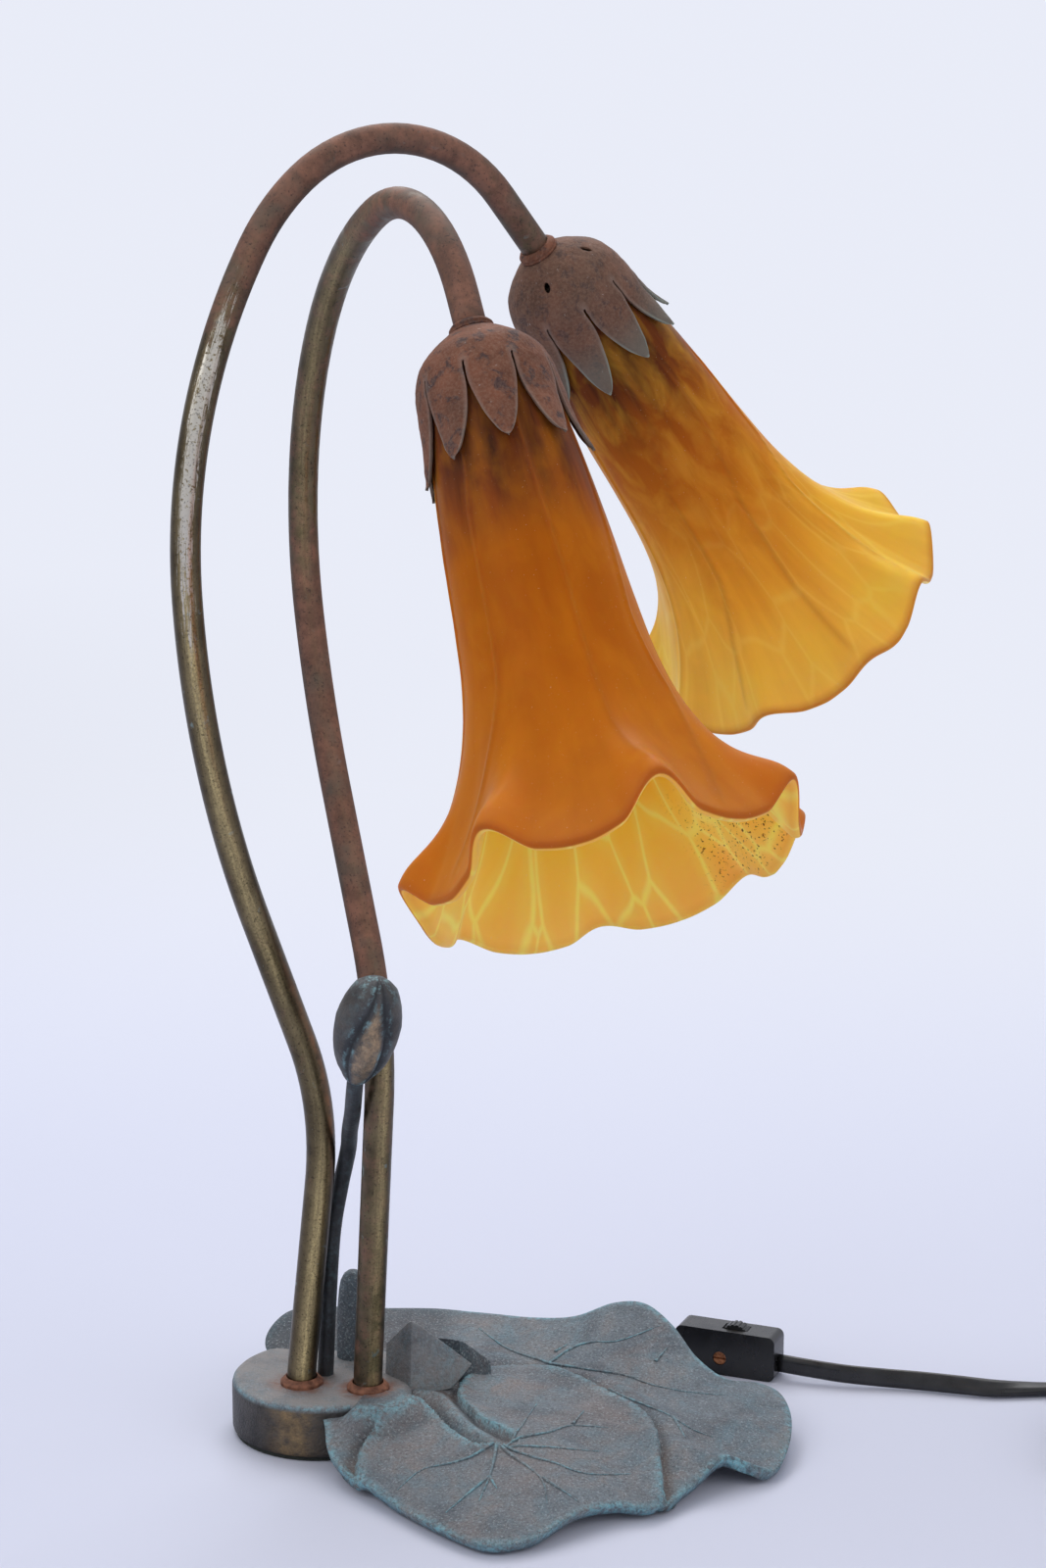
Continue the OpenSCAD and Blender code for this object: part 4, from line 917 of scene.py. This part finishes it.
def makeHusk(side):
    v = huskValues
    columns = v["across"]
    count = v["petals"] * (columns + 1)
    husk = ringStack("husk" + side.title(), v["domeRings"], count)
    pick(husk)
    ops.object.mode_set(mode="EDIT")
    ops.mesh.select_all(action="DESELECT")
    sheet = bmesh.from_edit_mesh(husk.data)
    step = 2 * math.pi / count
    lastRing = (len(v["domeRings"]) - 1) * count
    column = sheet.verts.layers.int.new("column")
    sheet.verts.ensure_lookup_table()
    for vertex in sheet.verts:
        if vertex.index >= lastRing:
            vertex[column] = round((math.atan2(vertex.co.y, vertex.co.x) % (2 * math.pi)) / step) % count
    for edge in sheet.edges:
        if all(vertex.index >= lastRing for vertex in edge.verts):
            a, b = sorted(vertex[column] % (columns + 1) for vertex in edge.verts)
            edge.select = b - a == 1
    bmesh.update_edit_mesh(husk.data)
    bottom = v["domeRings"][-1][1]
    for row, (height, half, radius) in enumerate(v["petal"]):
        ops.mesh.extrude_region_move(TRANSFORM_OT_translate={"value": (0, 0, 1 * mm)})
        sheet = bmesh.from_edit_mesh(husk.data)
        column = sheet.verts.layers.int["column"]
        for vertex in sheet.verts:
            if vertex.select:
                petal, place = divmod(vertex[column], columns + 1)
                middle = (petal * (columns + 1) + columns / 2) * step
                across = (place - columns / 2) / (columns / 2)
                tip = v[side]["tips"].get(petal, v["fullTip"])
                low = bottom + (height - bottom) * (tip - bottom) / (v["fullTip"] - bottom)
                uneven = noise.noise(Vector((petal * 5.7 + v[side]["seed"], 2.0, row * 0.12)))
                curled = 0.5 * across * across * smoothStep((row - 1) / 4)
                out = radius + (1.5 * uneven + 0.4) * smoothStep((row - 5) / 7) - curled
                wobble = 0.25 * noise.noise(
                    Vector((petal * 2.3, across * 2 + row * 0.4, 4.0))) * smoothStep((row - 4) / 3)
                angle = middle + (across * half + wobble) / radius
                low -= 0.25 * across * across * smoothStep((row - 9) / 3)
                vertex.co = (out * math.cos(angle) * mm, out * math.sin(angle) * mm, low * mm)
        bmesh.update_edit_mesh(husk.data)
    ops.object.mode_set(mode="OBJECT")
    tip = [smoothStep((vertex.co.z / mm - 24) / 18) for vertex in husk.data.vertices]
    edge = [0.0] * len(tip)
    shell = bmesh.new()
    shell.from_mesh(husk.data)
    for vertex in shell.verts:
        if vertex.is_boundary:
            edge[vertex.index] = 1.0
    shell.free()
    pointLayers(husk, tip=tip, edge=edge)
    turn = v[side]["spin"] - 180 / v["petals"] * columns / (columns + 1)
    husk.data.transform(Matrix.Rotation(math.radians(turn), 4, "Z"))
    facesOutward(husk)
    applyModifier(husk, "SUBSURF", levels=1, render_levels=1)
    dents = [noise.noise(vertex.co * 260) + 0.6 * noise.noise(vertex.co * 620) for vertex in husk.data.vertices]
    for vertex, dent in zip(husk.data.vertices, dents):
        vertex.co += vertex.normal * (0.16 * mm * dent)
    applyModifier(husk, "SOLIDIFY", thickness=v["sheet"] * mm, offset=-1)
    applyModifier(husk, "BEVEL", width=0.18 * mm, segments=1, limit_method="ANGLE")
    if v[side]["vents"]:
        bars = ventCutter(v[side]["vents"])
        applyModifier(husk, "BOOLEAN", object=bars, operation="DIFFERENCE")
        bpy.data.objects.remove(bars)
    settle(husk, endFrame(side))
    dress(husk, huskRust[side])
    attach(husk, "lamp")
    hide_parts("husk_" + side)


for side in ("back", "front"):
    makeHusk(side)

collarValues = {
    "profile": [
        (4.8, 0), (6.4, 0), (6.62, -0.3), (6.55, -0.7), (6.25, -0.95), (6.6, -1.3), (6.5, -1.8), (5.8, -2.6),
        (5, -3), (4.8, -3)], "sides": 48}
collars = []
for side in ("back", "front"):
    collar = ringStack("neckCollar", collarValues["profile"], collarValues["sides"], loop=True)
    facesOutward(collar)
    settle(collar, endFrame(side))
    collars.append(collar)
neckCollars = joinPieces("neckCollars", collars)
dress(neckCollars, huskRust["front"])
evenLayers(neckCollars, tip=0.0, edge=0.0)
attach(neckCollars, "lamp")
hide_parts("neck_collars")
print("husks and collars pressed")


# cast base

baseValues = {
    "middle": (75, -5), "padHeight": 13, "step": 2.2, "leaf": 3.6, "felt": 1.2, "around": 384, "rings": 110,
    "rim": [
        (9, -29, 15), (16, -44, 8.5), (38, -62, 5.2), (60, -79, 4.4), (76, -87, 4.4), (89, -81, 5),
        (100, -66, 8), (111, -55, 7), (122, -50, 4.8), (130, -36, 6), (139, -22, 11.5), (147, -17, 8),
        (154, -12, 4.4), (156, 4, 6.5), (154, 22, 9), (148, 38, 10), (140, 43, 11), (129, 40, 13),
        (118, 47, 17), (108, 58, 23), (97, 66, 27), (86, 66, 26.5), (73, 65, 21), (58, 68, 18), (40, 72, 16.5),
        (22, 70, 17.5), (4, 60, 20), (-12, 47, 24), (-22, 33, 26), (-25, 19, 20), (-12, 4, 13), (2, -16, 13)]}
padEdges = {
    "frontLeft": [
        (67.6, -35.8), (59.9, -34.9), (51.1, -27.2), (42.5, -16.8), (35, -11.4), (29, -19.9), (25.9, -31.4),
        (24.1, -39.6), (25.7, -50), (32, -62)],
    "frontRear": [
        (68.9, -26.4), (59.2, -19), (50.7, -8.9), (46.5, 0), (46.5, 10), (49.5, 22), (57, 29), (67.6, 29.5),
        (80, 21.5), (90.5, 14.6), (101.2, 7), (108.4, 0.5), (114, -8.5), (118.4, -23.6), (121.9, -37.1),
        (124.6, -49.5)]}
veins = [
    [(68.2, -35.4), (71.8, -30.4), (72.8, -16.9), (73.5, -1.8)],
    [(71.8, -30.4), (82.1, -23), (88.5, -15.1), (99.8, -14.4)], [(88.2, -14.1), (89.7, -4.1)],
    [(70.7, -34.2), (86.2, -32.6), (99.7, -28.9)],
    [(70.2, -36.6), (86.1, -41.5), (98.4, -44.4), (111.7, -37.4)], [(70, -37.6), (85.2, -50.7), (90.5, -64.3)],
    [(86.3, -51.3), (99.9, -61)], [(68.3, -37.7), (69.6, -53.3), (69.3, -66.5)], [(69.6, -53.3), (59.9, -71.8)],
    [(69.6, -53.3), (73.6, -60)], [(67.3, -36.8), (58.1, -44.1), (47.2, -48.1), (41, -58.7)],
    [(69.8, 34.8), (83.4, 29.3), (97, 28.7), (107.8, 25.9), (118.1, 26.1), (130, 28)],
    [(69.8, 34.8), (77.2, 44.4), (90.5, 46.1), (104.2, 56.8)],
    [(94, 16.5), (102.4, 11.5), (117.2, 2.3), (132.2, -3.2)], [(118.2, 2), (124.2, -9.1)],
    [(105.4, 39.1), (108.1, 46.9)], [(70.3, 42.2), (73.6, 46.6)], [(69.8, 34.8), (53.8, 44.8), (39.9, 59.1)]]
petiole = [(34, -4), (42, -5.5), (50, -17), (58, -26), (67, -34)]


def nearest(line, x, y):
    # distance to a drawn line, the share along it, and the side that the point is on
    best = (1e9, 0, 0)
    for i, (a, b) in enumerate(zip(line, line[1:])):
        dx, dy = b[0] - a[0], b[1] - a[1]
        f = min(1, max(0, ((x - a[0]) * dx + (y - a[1]) * dy) / (dx * dx + dy * dy)))
        ex, ey = x - a[0] - dx * f, y - a[1] - dy * f
        d = math.hypot(ex, ey)
        if d < best[0]:
            best = (d, (i + f) / (len(line) - 1), 1 if dx * ey - dy * ex > 0 else -1)
    return best


rearEdge = sampled(padEdges["frontRear"], 6)
leftEdge = sampled(padEdges["frontLeft"], 6)
petioleLine = sampled(petiole, 6)
veinLines = [sampled(line, 4) for line in veins]
edgeValues = [
    # the side on top, rise and dip as (height, width), and the painted shade in the gap as (distance, width,
    # depth)
    {"line": rearEdge, "top": -1, "rise": (1.7, 5.0), "dip": (1.9, 3.6), "gap": (1.2, 2.0, 0.7)},
    {"line": leftEdge, "top": 1, "rise": (1.8, 4.6), "dip": (2.2, 4.0), "gap": (1.6, 2.4, 0.8)}]
edgeReach = 14
petioleValues = {
    "reach": 10, "height": 3.0, "wide": 4.6, "narrowing": 2.2, "fall": 0.5, "crest": 0.35, "crestWide": 2.5,
    "gap": 0.75, "gapAt": 5.2, "gapWide": 1.5, "gapFall": 0.3}
sheathValues = {
    "at": -50, "half": 58, "fade": 22, "reach": 23.5, "slope": 7.5, "height": 19.7, "shade": 0.3, "wide": 2.2,
    "crest": 0.8, "crestAt": 17.5, "gap": 0.7, "gapAt": 24.5, "gapHalf": 50}


def rimPoint(u):
    rim = baseValues["rim"]
    n = len(rim)
    i = int(math.floor(u))
    return curveBetween(rim[(i - 1) % n], rim[i % n], rim[(i + 1) % n], rim[(i + 2) % n], u - i)


def leafRelief(x, y):
    # height added to the leaves at a point, with how far it is a crest, and the painted shade of its hollows
    height = crest = hollow = 0
    for v in edgeValues:
        d, s, hand = nearest(v["line"], x, y)
        if d < edgeReach and hand == v["top"]:
            height += v["rise"][0] * bell(d, v["rise"][1])
            crest = max(crest, bell(d, 2.6) * 0.8)
        elif d < edgeReach:
            height -= v["dip"][0] * bell(d, v["dip"][1])
            hollow = max(hollow, bell(d - v["gap"][0], v["gap"][1]) * v["gap"][2])
    v = petioleValues
    d, s, hand = nearest(petioleLine, x, y)
    if d < v["reach"]:
        height += v["height"] * bell(d, v["wide"] - v["narrowing"] * s) * (1 - v["fall"] * s)
        crest = max(crest, bell(d, v["crestWide"]) * v["crest"])
        hollow = max(hollow, v["gap"] * bell(d - v["gapAt"], v["gapWide"]) * (1 - v["gapFall"] * s))
    return height, crest, hollow


def makeBase():
    v = baseValues
    count, rings = v["around"], v["rings"]
    middle = v["middle"]
    sheath = sheathValues
    footX, footY = stemValues["front"]["foot"]
    profile = [(j / rings * 1000, 0) for j in range(1, rings + 1)]
    leaf = ringStack("castBase", profile, count)
    crests, hollowShades, shadows = [], [], []
    for vertex in leaf.data.vertices:
        ring = vertex.index // count
        s = (ring + 1) / rings
        u = (math.atan2(vertex.co.y, vertex.co.x) % (2 * math.pi)) / (2 * math.pi) * len(v["rim"])
        p = rimPoint(u)
        x = middle[0] + (p[0] - middle[0]) * s
        y = middle[1] + (p[1] - middle[1]) * s
        over = smoothStep((61 - math.hypot(x - 72, y + 30)) / 6) * (1 - s * s)
        base = v["padHeight"] + (p[2] - v["padHeight"]) * s ** 2.2 + v["step"] * over
        lift, crest, hollow = leafRelief(x, y)
        edge = smoothStep((s - 0.955) / 0.045)
        ripple = 0.35 * noise.noise(Vector((x / 9, y / 9, 0.3)))
        ripple += 0.12 * noise.noise(Vector((x / 2.6, y / 2.6, 1.7)))
        z = base + (lift + ripple) * (1 - 0.75 * edge) - 0.5 * edge ** 3
        # the sheath of the front leaf rises round the stem's seat and hugs it
        away = math.hypot(x - footX, y - footY)
        beside = abs(math.degrees(math.atan2(y - footY, x - footX)) - sheath["at"])
        facing = smoothStep((sheath["half"] - beside) / sheath["fade"])
        hug = facing * smoothStep((sheath["reach"] - away) / sheath["slope"])
        z += (sheath["height"] - z) * hug
        crest = max(crest, sheath["crest"] * facing * bell(away - sheath["crestAt"], sheath["wide"]))
        # painted shade: the sheath is darker where it hugs the seat and in the gap below its crest
        below = smoothStep(
            (sheath["gapHalf"] - beside) / sheath["fade"]) * bell(away - sheath["gapAt"], sheath["wide"])
        hollow = max(hollow * (1 - hug) + sheath["shade"] * hug, sheath["gap"] * below)
        vertex.co = (x * mm, y * mm, z * mm)
        shadows.append(0.85 * smoothStep((36 - x) / 12) * smoothStep((y + 2) / 10))
        crests.append(max(crest, edge * 0.9) * (1 - shadows[-1]))
        hollowShades.append(hollow)
    pointLayers(leaf, shadow=shadows, crest=crests, hollow=hollowShades)
    # close the middle, then give the leaf its thickness
    pick(leaf)
    ops.object.mode_set(mode="EDIT")
    ops.mesh.select_all(action="DESELECT")
    sheet = bmesh.from_edit_mesh(leaf.data)
    for vertex in sheet.verts:
        vertex.select = vertex.index < count
    sheet.select_flush_mode()
    bmesh.update_edit_mesh(leaf.data)
    ops.mesh.select_mode(type="VERT")
    ops.mesh.merge(type="CENTER")
    ops.object.mode_set(mode="OBJECT")
    facesOutward(leaf)
    if sum(polygon.normal.z for polygon in leaf.data.polygons) < 0:
        leaf.data.flip_normals()
    applyModifier(leaf, "SOLIDIFY", thickness=v["leaf"] * mm, offset=-1)
    for vertex in leaf.data.vertices:
        vertex.co.z = max(vertex.co.z, v["felt"] * mm)
    return leaf


def makeVeins(leaf):
    # thin raised ribs that are drawn on the leaf and follow its surface
    paths = []
    for line in veinLines:
        path = []
        for i, (x, y) in enumerate(line):
            hit, spot, normal, _ = leaf.ray_cast(Vector((x * mm, y * mm, 0.08)), Vector((0, 0, -1)))
            fade = i / (len(line) - 1)
            z = (spot.z if hit else 0.013) + (0.12 - 0.12 * fade) * mm
            path.append((x * mm, y * mm, z, 0.62 - 0.42 * fade))
        paths.append(path)
    ribs = tubeAlong("veins", paths, 1 * mm, 2)
    # painted highlight on the ribs' tops, and painted shadow on their sides facing front and right
    shaded = Vector((0.45, -0.8, 0.2))
    normals = [vertex.normal for vertex in ribs.data.vertices]
    pointLayers(ribs, crest=[0.8 if normal.z > 0.3 else 0.2 for normal in normals],
                shadow=[0.45 if normal.dot(shaded) > 0.5 else 0.0 for normal in normals])
    evenLayers(ribs, hollow=0.0)
    return ribs


castBase = makeBase()
leafVeins = makeVeins(castBase)
print("leaves cast")


def plinthPiece():
    profile = [
        (0.5, 1.3), (28.6, 1.2), (29.3, 1.7), (29.5, 2.6), (29.5, 5), (29.5, 8), (29.5, 11), (29.5, 14),
        (29.45, 16.4), (29.1, 17.8), (28.2, 18.7), (26.8, 19), (22, 19.03), (16, 19.05), (9, 19.05),
        (0.5, 19.05)]
    drum = ringStack("plinth", profile, 96, closeStart=True, closeEnd=True)
    facesOutward(drum)
    return drum


def lobe(name, profile, place, count=40, squash=1.0):
    piece = ringStack(name, profile, count, closeStart=True, closeEnd=True)
    for vertex in piece.data.vertices:
        vertex.co.y *= squash
    piece.data.transform(Matrix.Translation((place[0] * mm, place[1] * mm, place[2] * mm)))
    facesOutward(piece)
    return piece


foldValues = {
    # lower and upper corners of the two facets: left, ridge, right
    "foldedLeaf": {
        "low": [(21.8, 4, 14), (31.2, -2, 15), (43, 5, 15.5)],
        "high": [(21.6, 7, 28.5), (30.6, 3, 38.8), (48.6, 10, 22.5)]},
    "leafBehind": {
        "low": [(38, 16, 14), (45, 13, 14), (53, 18, 13)],
        "high": [(36, 18, 27.5), (43, 17, 27.5), (52, 21, 19)]}}


def foldedLeaf(name):
    # a young leaf folded along its midrib: two curved faces that meet in a ridge
    clearSelection()
    ops.mesh.primitive_grid_add(x_subdivisions=24, y_subdivisions=24, size=1)
    piece = added(name)
    corners = foldValues[name]
    for vertex in piece.data.vertices:
        u, w = vertex.co.x + 0.5, vertex.co.y + 0.5
        f = u * 2
        i = min(int(f), 1)
        f -= i
        a = Vector(corners["low"][i]).lerp(Vector(corners["low"][i + 1]), f)
        b = Vector(corners["high"][i]).lerp(Vector(corners["high"][i + 1]), f)
        p = a.lerp(b, w)
        crease = bell(u - 0.5, 0.035)
        swell = math.sin(math.pi * min(1, abs(u - 0.5) * 2)) * math.sin(math.pi * (0.15 + 0.8 * w))
        p += Vector((0.35, -0.93, 0)) * (0.5 * crease + 0.9 * swell)
        vertex.co = p * mm
    facesOutward(piece)
    applyModifier(piece, "SOLIDIFY", thickness=2.6 * mm, offset=0)
    applyModifier(
        piece, "BEVEL", width=1.1 * mm, segments=3, limit_method="ANGLE", angle_limit=math.radians(50))
    return piece


lobeValues = {
    "stemSeat": [
        (0.5, 1.3), (14.3, 1.3), (14.5, 2), (14.5, 14), (14.5, 16.6), (14.2, 17.9), (13.2, 18.7), (11.5, 19.12),
        (8, 19.2), (0.5, 19.2)],
    "furledLeaf": [
        (0.5, 0), (5.6, 0), (5.8, 8), (5.7, 16), (5.3, 24), (4.8, 29), (4.2, 32), (3.1, 34.2), (1.7, 35.3),
        (0.5, 35.5)]}
parts = [castBase, plinthPiece(), lobe("stemSeat", lobeValues["stemSeat"], (18.75, -10, 0), 56),
         lobe("furledLeaf", lobeValues["furledLeaf"], (6.8, 16.5, 14), 40, 0.9),
         foldedLeaf("foldedLeaf"), foldedLeaf("leafBehind"), leafVeins]
feet = [(74, -77, 4.5), (148, -3, 5), (56, 48, 13)]
parts += [
    lobe("leafFoot", [(0.5, 1.2), (4.7, 1.2), (5, 1.5), (5, z), (0.5, z)], (x, y, 0), 40) for x, y, z in feet]
# the folded leaf is painted paler with crest and dust colour, as painted light on its faces
partLooks = {
    "foldedLeaf": {"crest": 0.42, "dusty": 0.7}, "furledLeaf": {"shadow": 0.7}, "leafBehind": {"shadow": 0.9}}
plinthLooks = {"rim": 0.55, "rimLow": 17.5, "rimHigh": 18.85, "wallTop": 17.6, "topFrom": 18, "across": 31,
               "rubAndSheenShare": 0.95, "rubAndSheenAt": -93, "rubAndSheenWide": 13, "rustFrom": 17, "rustReach": 11, "rustFade": 3.5}
stemFeet = [stemValues[side]["foot"] for side in ("back", "front")]
for part in parts:
    v = plinthLooks
    look = partLooks.get(part.name, {})
    drum = part.name == "plinth"
    crest, wall, dusty, rust, rub = [], [], [], [], []
    for vertex in part.data.vertices:
        x, y, z = (c / mm for c in vertex.co)
        metalWall = (drum or part.name == "stemSeat") and z < v["wallTop"]
        onTop = (drum or part.name == "stemSeat") and math.hypot(x, y) < v["across"] and z > v["topFrom"]
        facing = math.degrees(math.atan2(y, x))
        nearFoot = min(math.hypot(x - footX, y - footY) for footX, footY in stemFeet)
        crest.append(v["rim"] if drum and v["rimLow"] < z < v["rimHigh"] else look.get("crest", 0.12))
        wall.append(1.0 if metalWall else 0.0)
        # painted sheen of rubbed brass on the front of the plinth's wall
        rub.append(bell(facing - v["rubAndSheenAt"], v["rubAndSheenWide"]) * v["rubAndSheenShare"] if drum and metalWall else 0.0)
        dusty.append(1.0 if onTop else look.get("dusty", 0.0))
        rust.append(smoothStep((v["rustReach"] - nearFoot) / v["rustFade"]) if z > v["rustFrom"] else 0.0)
    pointLayers(part, wall=wall, dusty=dusty, rust=rust, rub=rub)
    if part not in (castBase, leafVeins):
        pointLayers(part, crest=crest)
        evenLayers(part, hollow=0.0, shadow=look.get("shadow", 0.0))
castBase = joinPieces("castBase", parts)
settle(castBase)
dress(castBase, verdigris)
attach(castBase, "lamp")
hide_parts("base_casting")
print("base cast")


# bud on its stem

budValues = {
    "route": [
        (1.7, -0.7, 19), (2.9, 0, 45), (4.2, 1.6, 68), (6.6, 2.4, 83), (10.8, -2.4, 98), (14.1, -12, 108),
        (17.7, -21.7, 117), (20.3, -29.3, 125), (21.9, -33.2, 131.4)], "tip": (30.9, -37.4, 166.9),
    "long": 36.9, "wide": 21, "stem": 5.4,
    "outline": [
        (0.0, 0.25), (0.02, 0.33), (0.05, 0.42), (0.087, 0.5), (0.15, 0.66), (0.223, 0.79), (0.29, 0.87),
        (0.36, 0.93), (0.43, 0.97), (0.5, 0.99), (0.59, 1.0), (0.68, 0.95), (0.77, 0.87), (0.85, 0.76),
        (0.905, 0.66), (0.95, 0.48), (0.98, 0.3), (1.0, 0.08)]}


def makeBud():
    v = budValues
    base, tip = Vector(v["route"][-1]), Vector(v["tip"])
    axis = (tip - base).normalized()
    turned = axis.to_track_quat("Z", "Y")
    rightSide = axis.cross(frontSide).normalized()
    profile = [(r * v["wide"] / 2, s * v["long"]) for s, r in v["outline"]]
    head = ringStack("bud", profile, 96, closeStart=True, closeEnd=True)
    crests, hollowShades, worn = [], [], []
    for vertex in head.data.vertices:
        x, y, z = (c / mm for c in vertex.co)
        s = z / v["long"]
        out = turned @ Vector((x, y, 0))
        angle = math.degrees(math.atan2(out.dot(rightSide), out.dot(frontSide)))
        # three lobes: the seams run up from the joint and lean over to the left
        lean = 10 * smoothStep((s - 0.35) / 0.65)
        seams = [
            -28 + 46 * smoothStep((s - 0.3) / 0.7) - lean, 52 - 12 * smoothStep((s - 0.4) / 0.6) - lean, -168]
        away = min(turnApart(angle, seam) for seam in seams)
        groove = bell(away, 5.5)
        plump = bell(away, 26)
        k = 1 - (0.09 * plump + 0.10 * groove) * math.sin(math.pi * min(1, max(0, s * 0.96 + 0.02))) ** 0.6
        vertex.co.x *= k
        vertex.co.y *= k
        ends = 0.8 * smoothStep((s - 0.80) / 0.2) + 0.6 * smoothStep((0.12 - s) / 0.1)
        crests.append(0.75 * bell(away - 9, 5) + ends)
        hollowShades.append(groove)
        middleLobe = 1.0 if seams[0] < angle < seams[1] else 0.12
        worn.append(middleLobe * smoothStep((away - 9) / 10) * math.sin(math.pi * s) ** 0.5)
    pointLayers(head, crest=crests, hollow=hollowShades, worn=worn)
    facesOutward(head)
    head.data.transform(Matrix.Translation(base * mm) @ turned.to_matrix().to_4x4())
    path = sampled(v["route"], 6) + [list(base + axis * 3)]
    stalk = tubeAlong("budStem", [[(*(c * mm for c in p), 1) for p in path]], v["stem"] / 2 * mm, 6)
    evenLayers(stalk, crest=0.1, hollow=0.45, worn=0.0)
    return joinPieces("budOnStem", [head, stalk])


budPiece = makeBud()
settle(budPiece)
dress(budPiece, budBronze)
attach(budPiece, "lamp")
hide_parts("bud")
print("bud cast")


# CAD nodes that keep their shape

keptNodes = {
    "darkFelt": ["felt_pads"], "rustyIron": ["foot_collars"], "plainSteel": ["stem_washers", "bud_screw"],
    "plainBrass": [
        "stem_nuts", "socket_nipples", "screw_shells", "centre_contacts", "bulb_back_cap", "bulb_front_cap",
        "switch_contacts", "plug_blades"], "brownPhenolic": ["socket_back", "socket_front", "shade_rings"],
    "frostedBulb": ["bulb_back_glass", "bulb_front_glass"],
    "blackInsulator": ["bulb_back_tip", "bulb_front_tip"], "wireCover": ["wires_back", "wires_front"],
    "terminalPlastic": ["terminal_block"], "blackCordJacket": ["plinth_leads", "cord_gland", "plug_body"],
    "copperScrew": ["switch_screw"],
    "glossBlackPlastic": ["switch_case_front", "switch_case_rear", "switch_wheel", "coil_tie"]}
for look, names in keptNodes.items():
    for name in names:
        dress(nodes[name], plain[look])
print("small pieces finished")


# floor, backdrop and light

def stageMaterial(name, colour, far):
    # paper that takes the shadow near the lamp and fades behind it to a pale glowing background, with painted
    # shade towards the left
    work = newMaterial(name, Base_Color=(*colour, 1), Roughness=0.9, Specular_IOR_Level=0.1)
    seen = work.add("LightPath").outputs
    direct = work.sums("MAXIMUM", seen["Is Camera Ray"], seen["Is Glossy Ray"])
    straight = work.sums("MAXIMUM", direct, seen["Is Transmission Ray"])
    where = work.add("SeparateXYZ", {0: work.place}).outputs
    fade = work.remap(where["Y"], 0.12, 0.95, kind="SMOOTHSTEP")
    # painted shade: the background glows darker towards the left and the near side
    leftShade = work.times(work.remap(where["X"], -0.25, -0.75), work.remap(where["Y"], 1.6, 0.3))
    tone = work.mix(leftShade, far, tuple(c * 0.86 for c in far))
    glow = work.add("Emission", {"Color": tone, "Strength": 1.0})
    share = work.times(straight, fade)
    blend = work.add("MixShader", {0: share, 1: work.shader.outputs[0], 2: glow.outputs[0]})
    work.feed(work.tree.nodes["Material Output"].inputs["Surface"], blend.outputs[0])
    return work.material


stageValues = {
    "floor": (0.64, 0.66, 0.775), "far": (0.815, 0.84, 0.935), "sky": (0.90, 0.92, 0.98), "skyLight": 0.62,
    "across": 8, "bendFrom": 1.4, "bendRadius": 1.4}
bendFrom, bendRadius = stageValues["bendFrom"], stageValues["bendRadius"]
clearSelection()
ops.mesh.primitive_grid_add(x_subdivisions=1, y_subdivisions=60, size=1)
floor = added("paleSweep")
for vertex in floor.data.vertices:
    x, y = vertex.co.x * stageValues["across"], vertex.co.y * stageValues["across"] + 1.0
    z = 0
    if y > bendFrom:
        a = min(1, (y - bendFrom) / 1.6) * math.pi / 2
        z = bendRadius * (1 - math.cos(a)) + max(0, y - 3.0)
        y = bendFrom + bendRadius * math.sin(a)
    vertex.co = (x, y, z - 0.0002)
settle(floor)
dress(floor, stageMaterial("palePaper", stageValues["floor"], stageValues["far"]))

world = bpy.data.worlds.new("paleRoom")
bpy.context.scene.world = world
world.use_nodes = True
sky = world.node_tree.nodes["Background"].inputs
sky["Color"].default_value = (*stageValues["sky"], 1)
sky["Strength"].default_value = stageValues["skyLight"]

lampValues = {
    "topBack": {"place": (-0.3, 1.1, 1.7), "size": 1.8, "watts": 24},
    "keyLeft": {"place": (-1.1, -1.1, 1.5), "size": 1.4, "watts": 8},
    "fillRight": {"place": (1.6, -0.8, 1.1), "size": 1.6, "watts": 6}}
lampAim = Vector((0.08, 0, 0.2))
for name, v in lampValues.items():
    light = bpy.data.lights.new(name, "AREA")
    light.shape = "DISK"
    light.size = v["size"]
    light.energy = v["watts"]
    lamp = bpy.data.objects.new(name, light)
    lamp.location = v["place"]
    lamp.rotation_euler = (lampAim - Vector(v["place"])).to_track_quat("-Z", "Y").to_euler()
    bpy.context.collection.objects.link(lamp)
print("stage lit")
